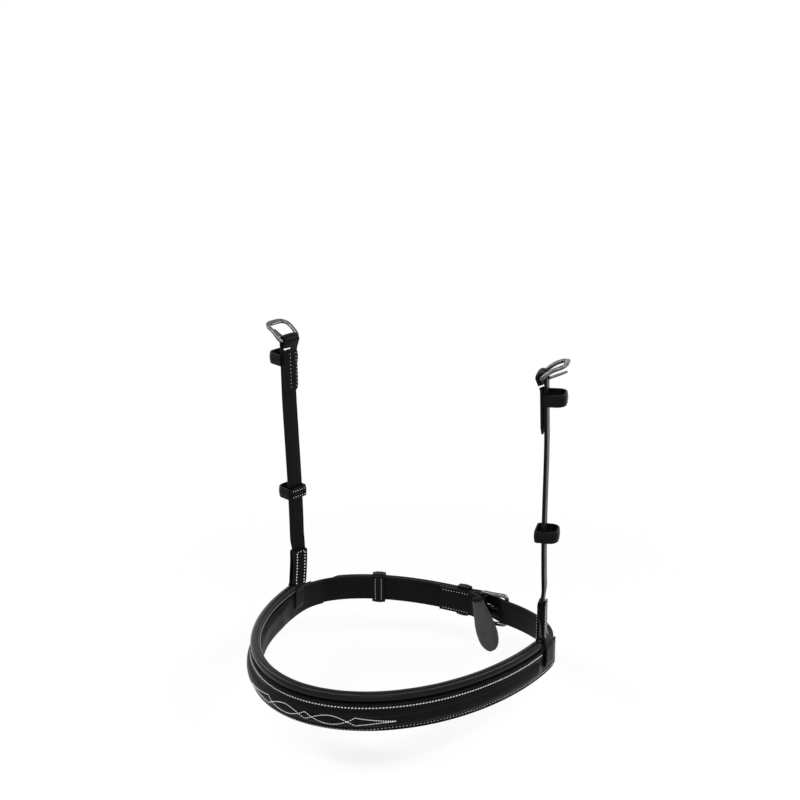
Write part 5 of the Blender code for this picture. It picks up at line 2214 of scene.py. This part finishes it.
    def build_keepers(self) -> None:
        """The fixed keeper, whose ends are sewn between the plies, and the loose running keeper."""
        matrix, length = self.matrix()
        prefix = self.side.prefix
        half = self.width / 2 + SLIDING_GAP
        place = matrix @ Matrix.Translation((0.0, 0.0, length - self.fixed_keeper_drop))
        fixed = Keeper(
            self.shop,
            self.keeper_width,
            self.keeper_thickness,
            self.chape_shift,
            self.fixed_keeper_reach - self.keeper_thickness,
            half,
            self.arch_radius,
            True,
        )
        fixed.build(f"{prefix}_fixed_keeper_leather", place, self.body, f"{prefix}_hanger_fixed_keeper")
        straight = length - self.chape_length
        height = length - self.running_keeper_drop
        step = self.keeper_width
        below, above = (self.line_out((height + offset) / straight) for offset in (-step, step))
        out = self.line_out(height / straight) + self.running_keeper_shift
        centre = matrix @ Matrix.Translation((out, 0.0, height))
        place = centre @ Matrix.Rotation(math.atan2(above - below, 2 * step), 4, "Y")
        running = Keeper(
            self.shop,
            self.keeper_width,
            self.keeper_thickness,
            -self.thickness / 2 - self.running_keeper_slack,
            self.running_keeper_reach - self.keeper_thickness,
            half,
            self.arch_radius,
        )
        body = f"{prefix}_hanger_running_keeper"
        running.build(f"{prefix}_running_keeper_leather", place, body, f"{prefix}_hanger_running_keeper")
        running.sew_back(f"{prefix}_running_keeper_stitches", place, body)


# Studio


@dataclass
class Studio:
    """The camera at the photograph's angle, a pale floor and soft light."""

    camera_place: tuple[float, float, float] = (0.5330, -0.9750, 0.5060)
    azimuth: float = math.radians(29.32)
    elevation: float = math.radians(16.58)
    lens: float = 73.7
    floor_height: float = -0.046
    shadow_reach: float = 0.45
    white_share: float = 0.84

    def build(self) -> None:
        """Set up the view, the floor, the world and the lamps."""
        self.build_camera()
        self.build_floor()
        self.build_world()
        self.build_lamps()
        bpy.context.scene.view_settings.view_transform = "Standard"

    def build_camera(self) -> None:
        """The camera that was fitted to the photograph."""
        data = bpy.data.cameras.new("photo_camera")
        data.lens = self.lens
        data.sensor_width = 36.0
        data.clip_start = 0.01
        camera = bpy.data.objects.new("photo_camera", data)
        bpy.context.scene.collection.objects.link(camera)
        level = math.cos(self.elevation)
        ahead = Vector(
            (-math.sin(self.azimuth) * level, math.cos(self.azimuth) * level, -math.sin(self.elevation))
        )
        right = Vector((math.cos(self.azimuth), math.sin(self.azimuth), 0.0))
        camera.matrix_world = axes_matrix(Vector(self.camera_place), right, right.cross(ahead), -ahead)
        bpy.context.scene.camera = camera

    def backdrop_share(self, tree: bpy.types.NodeTree) -> bpy.types.NodeSocket:
        """Tell the rays that see the backdrop white from those that light the noseband.

        Args:
            tree: The node tree to which the test is added.

        Returns:
            1 for rays from the camera, reflections and clear materials, else 0.
        """
        rays = add_node(tree, "LightPath").outputs
        share = rays["Is Camera Ray"]
        for other in ("Is Glossy Ray", "Is Transmission Ray"):
            share = add_node(tree, "Math", {0: share, 1: rays[other]}, operation="MAXIMUM").outputs["Value"]
        return share

    def build_floor(self) -> None:
        """A pale floor that is seen white and keeps the noseband's shadow, which fades out round it."""
        deselect_all()
        bpy.ops.mesh.primitive_plane_add(size=30.0, location=(0.0, 0.0, self.floor_height))
        floor = bpy.context.object
        floor.name = "studio_floor"
        material = bpy.data.materials.new("matt_white_floor")
        material.use_nodes = True
        tree = material.node_tree
        shader = tree.nodes["Principled BSDF"]
        set_inputs(tree, shader, {"Base Color": srgb("f8f8f8"), "Roughness": 0.9, "Specular IOR Level": 0.1})
        white = add_node(tree, "Emission", {"Color": srgb("ffffff"), "Strength": 1.0})
        place = add_node(tree, "TexCoord").outputs["Object"]
        spread = add_node(tree, "Mapping", {"Vector": place, "Scale": (1 / self.shadow_reach,) * 3})
        near = add_node(tree, "TexGradient", {"Vector": spread.outputs["Vector"]}, gradient_type="SPHERICAL")
        fading = {"Value": near.outputs["Fac"], "From Max": 0.5, "To Min": 1.0, "To Max": self.white_share}
        kept = add_node(tree, "MapRange", fading, interpolation_type="SMOOTHSTEP").outputs["Result"]
        share = add_node(tree, "Math", {0: self.backdrop_share(tree), 1: kept}, operation="MULTIPLY")
        mixed = {0: share.outputs["Value"], 1: shader.outputs["BSDF"], 2: white.outputs["Emission"]}
        shown = add_node(tree, "MixShader", mixed)
        set_inputs(tree, tree.nodes["Material Output"], {"Surface": shown.outputs["Shader"]})
        floor.data.materials.append(material)

    def build_world(self) -> None:
        """A soft grey room whose walls are seen white."""
        world = bpy.data.worlds.new("studio_room")
        bpy.context.scene.world = world
        world.use_nodes = True
        tree = world.node_tree
        tree.nodes.clear()
        room = add_node(tree, "Background", {"Color": srgb("d8dade"), "Strength": 0.45})
        white = add_node(tree, "Background", {"Color": srgb("ffffff"), "Strength": 1.0})
        mixed = {0: self.backdrop_share(tree), 1: room.outputs["Background"], 2: white.outputs["Background"]}
        add_node(tree, "OutputWorld", {"Surface": add_node(tree, "MixShader", mixed).outputs["Shader"]})

    def build_lamps(self) -> None:
        """Four long boxes in an arc from behind on the right round the front to the left, and a front fill.

        Each row gives a lamp's place, where it is aimed, the way of its long side, its sides and its power.
        """
        centre = (0.0, 0.0, 0.02)
        lamps = (
            ("front_softbox", (-0.18, -0.75, 0.91), centre, (0.90, 0.00, 0.19), (1.1, 0.15), 6.3),
            ("right_softbox", (0.72, -0.36, 0.89), centre, (0.38, 0.68, -0.10), (0.8, 0.15), 4.3),
            ("right_rear_softbox", (0.86, 0.36, 0.74), centre, (-0.05, 0.80, -0.38), (0.9, 0.15), 5.0),
            ("left_softbox", (-0.96, -0.24, 0.66), centre, (0.46, -0.63, 0.35), (0.9, 0.15), 3.6),
            ("front_fill", (0.95, -1.35, 0.5), (0.0, 0.0, 0.08), (1.0, 0.7, 0.0), (0.7, 0.5), 2.4),
        )
        for name, place, aim, along, size, power in lamps:
            data = bpy.data.lights.new(name, "AREA")
            data.energy = power
            data.shape = "RECTANGLE"
            data.size, data.size_y = size
            lamp = bpy.data.objects.new(name, data)
            bpy.context.scene.collection.objects.link(lamp)
            away = (Vector(place) - Vector(aim)).normalized()
            rise = away.cross(Vector(along)).normalized()
            lamp.matrix_world = axes_matrix(Vector(place), rise.cross(away), rise, away)


def main() -> None:
    """Load the solids, build every sub-assembly, then the studio."""
    logging.basicConfig(level=logging.INFO, format="%(name)s: %(message)s")
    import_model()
    shop = Workshop(RingPlan(), {slot: finish.make() for slot, finish in FINISHES.items()})
    nosepiece = Nosepiece(shop)
    nosepiece.build()
    NoseStitching(shop, nosepiece).build()
    JawStrap(shop).build()
    for side in Side:
        Hanger(shop, side).build()
    Studio().build()
    LOG.info("%d pieces", len(shop.made))


if __name__ == "__main__":
    main()
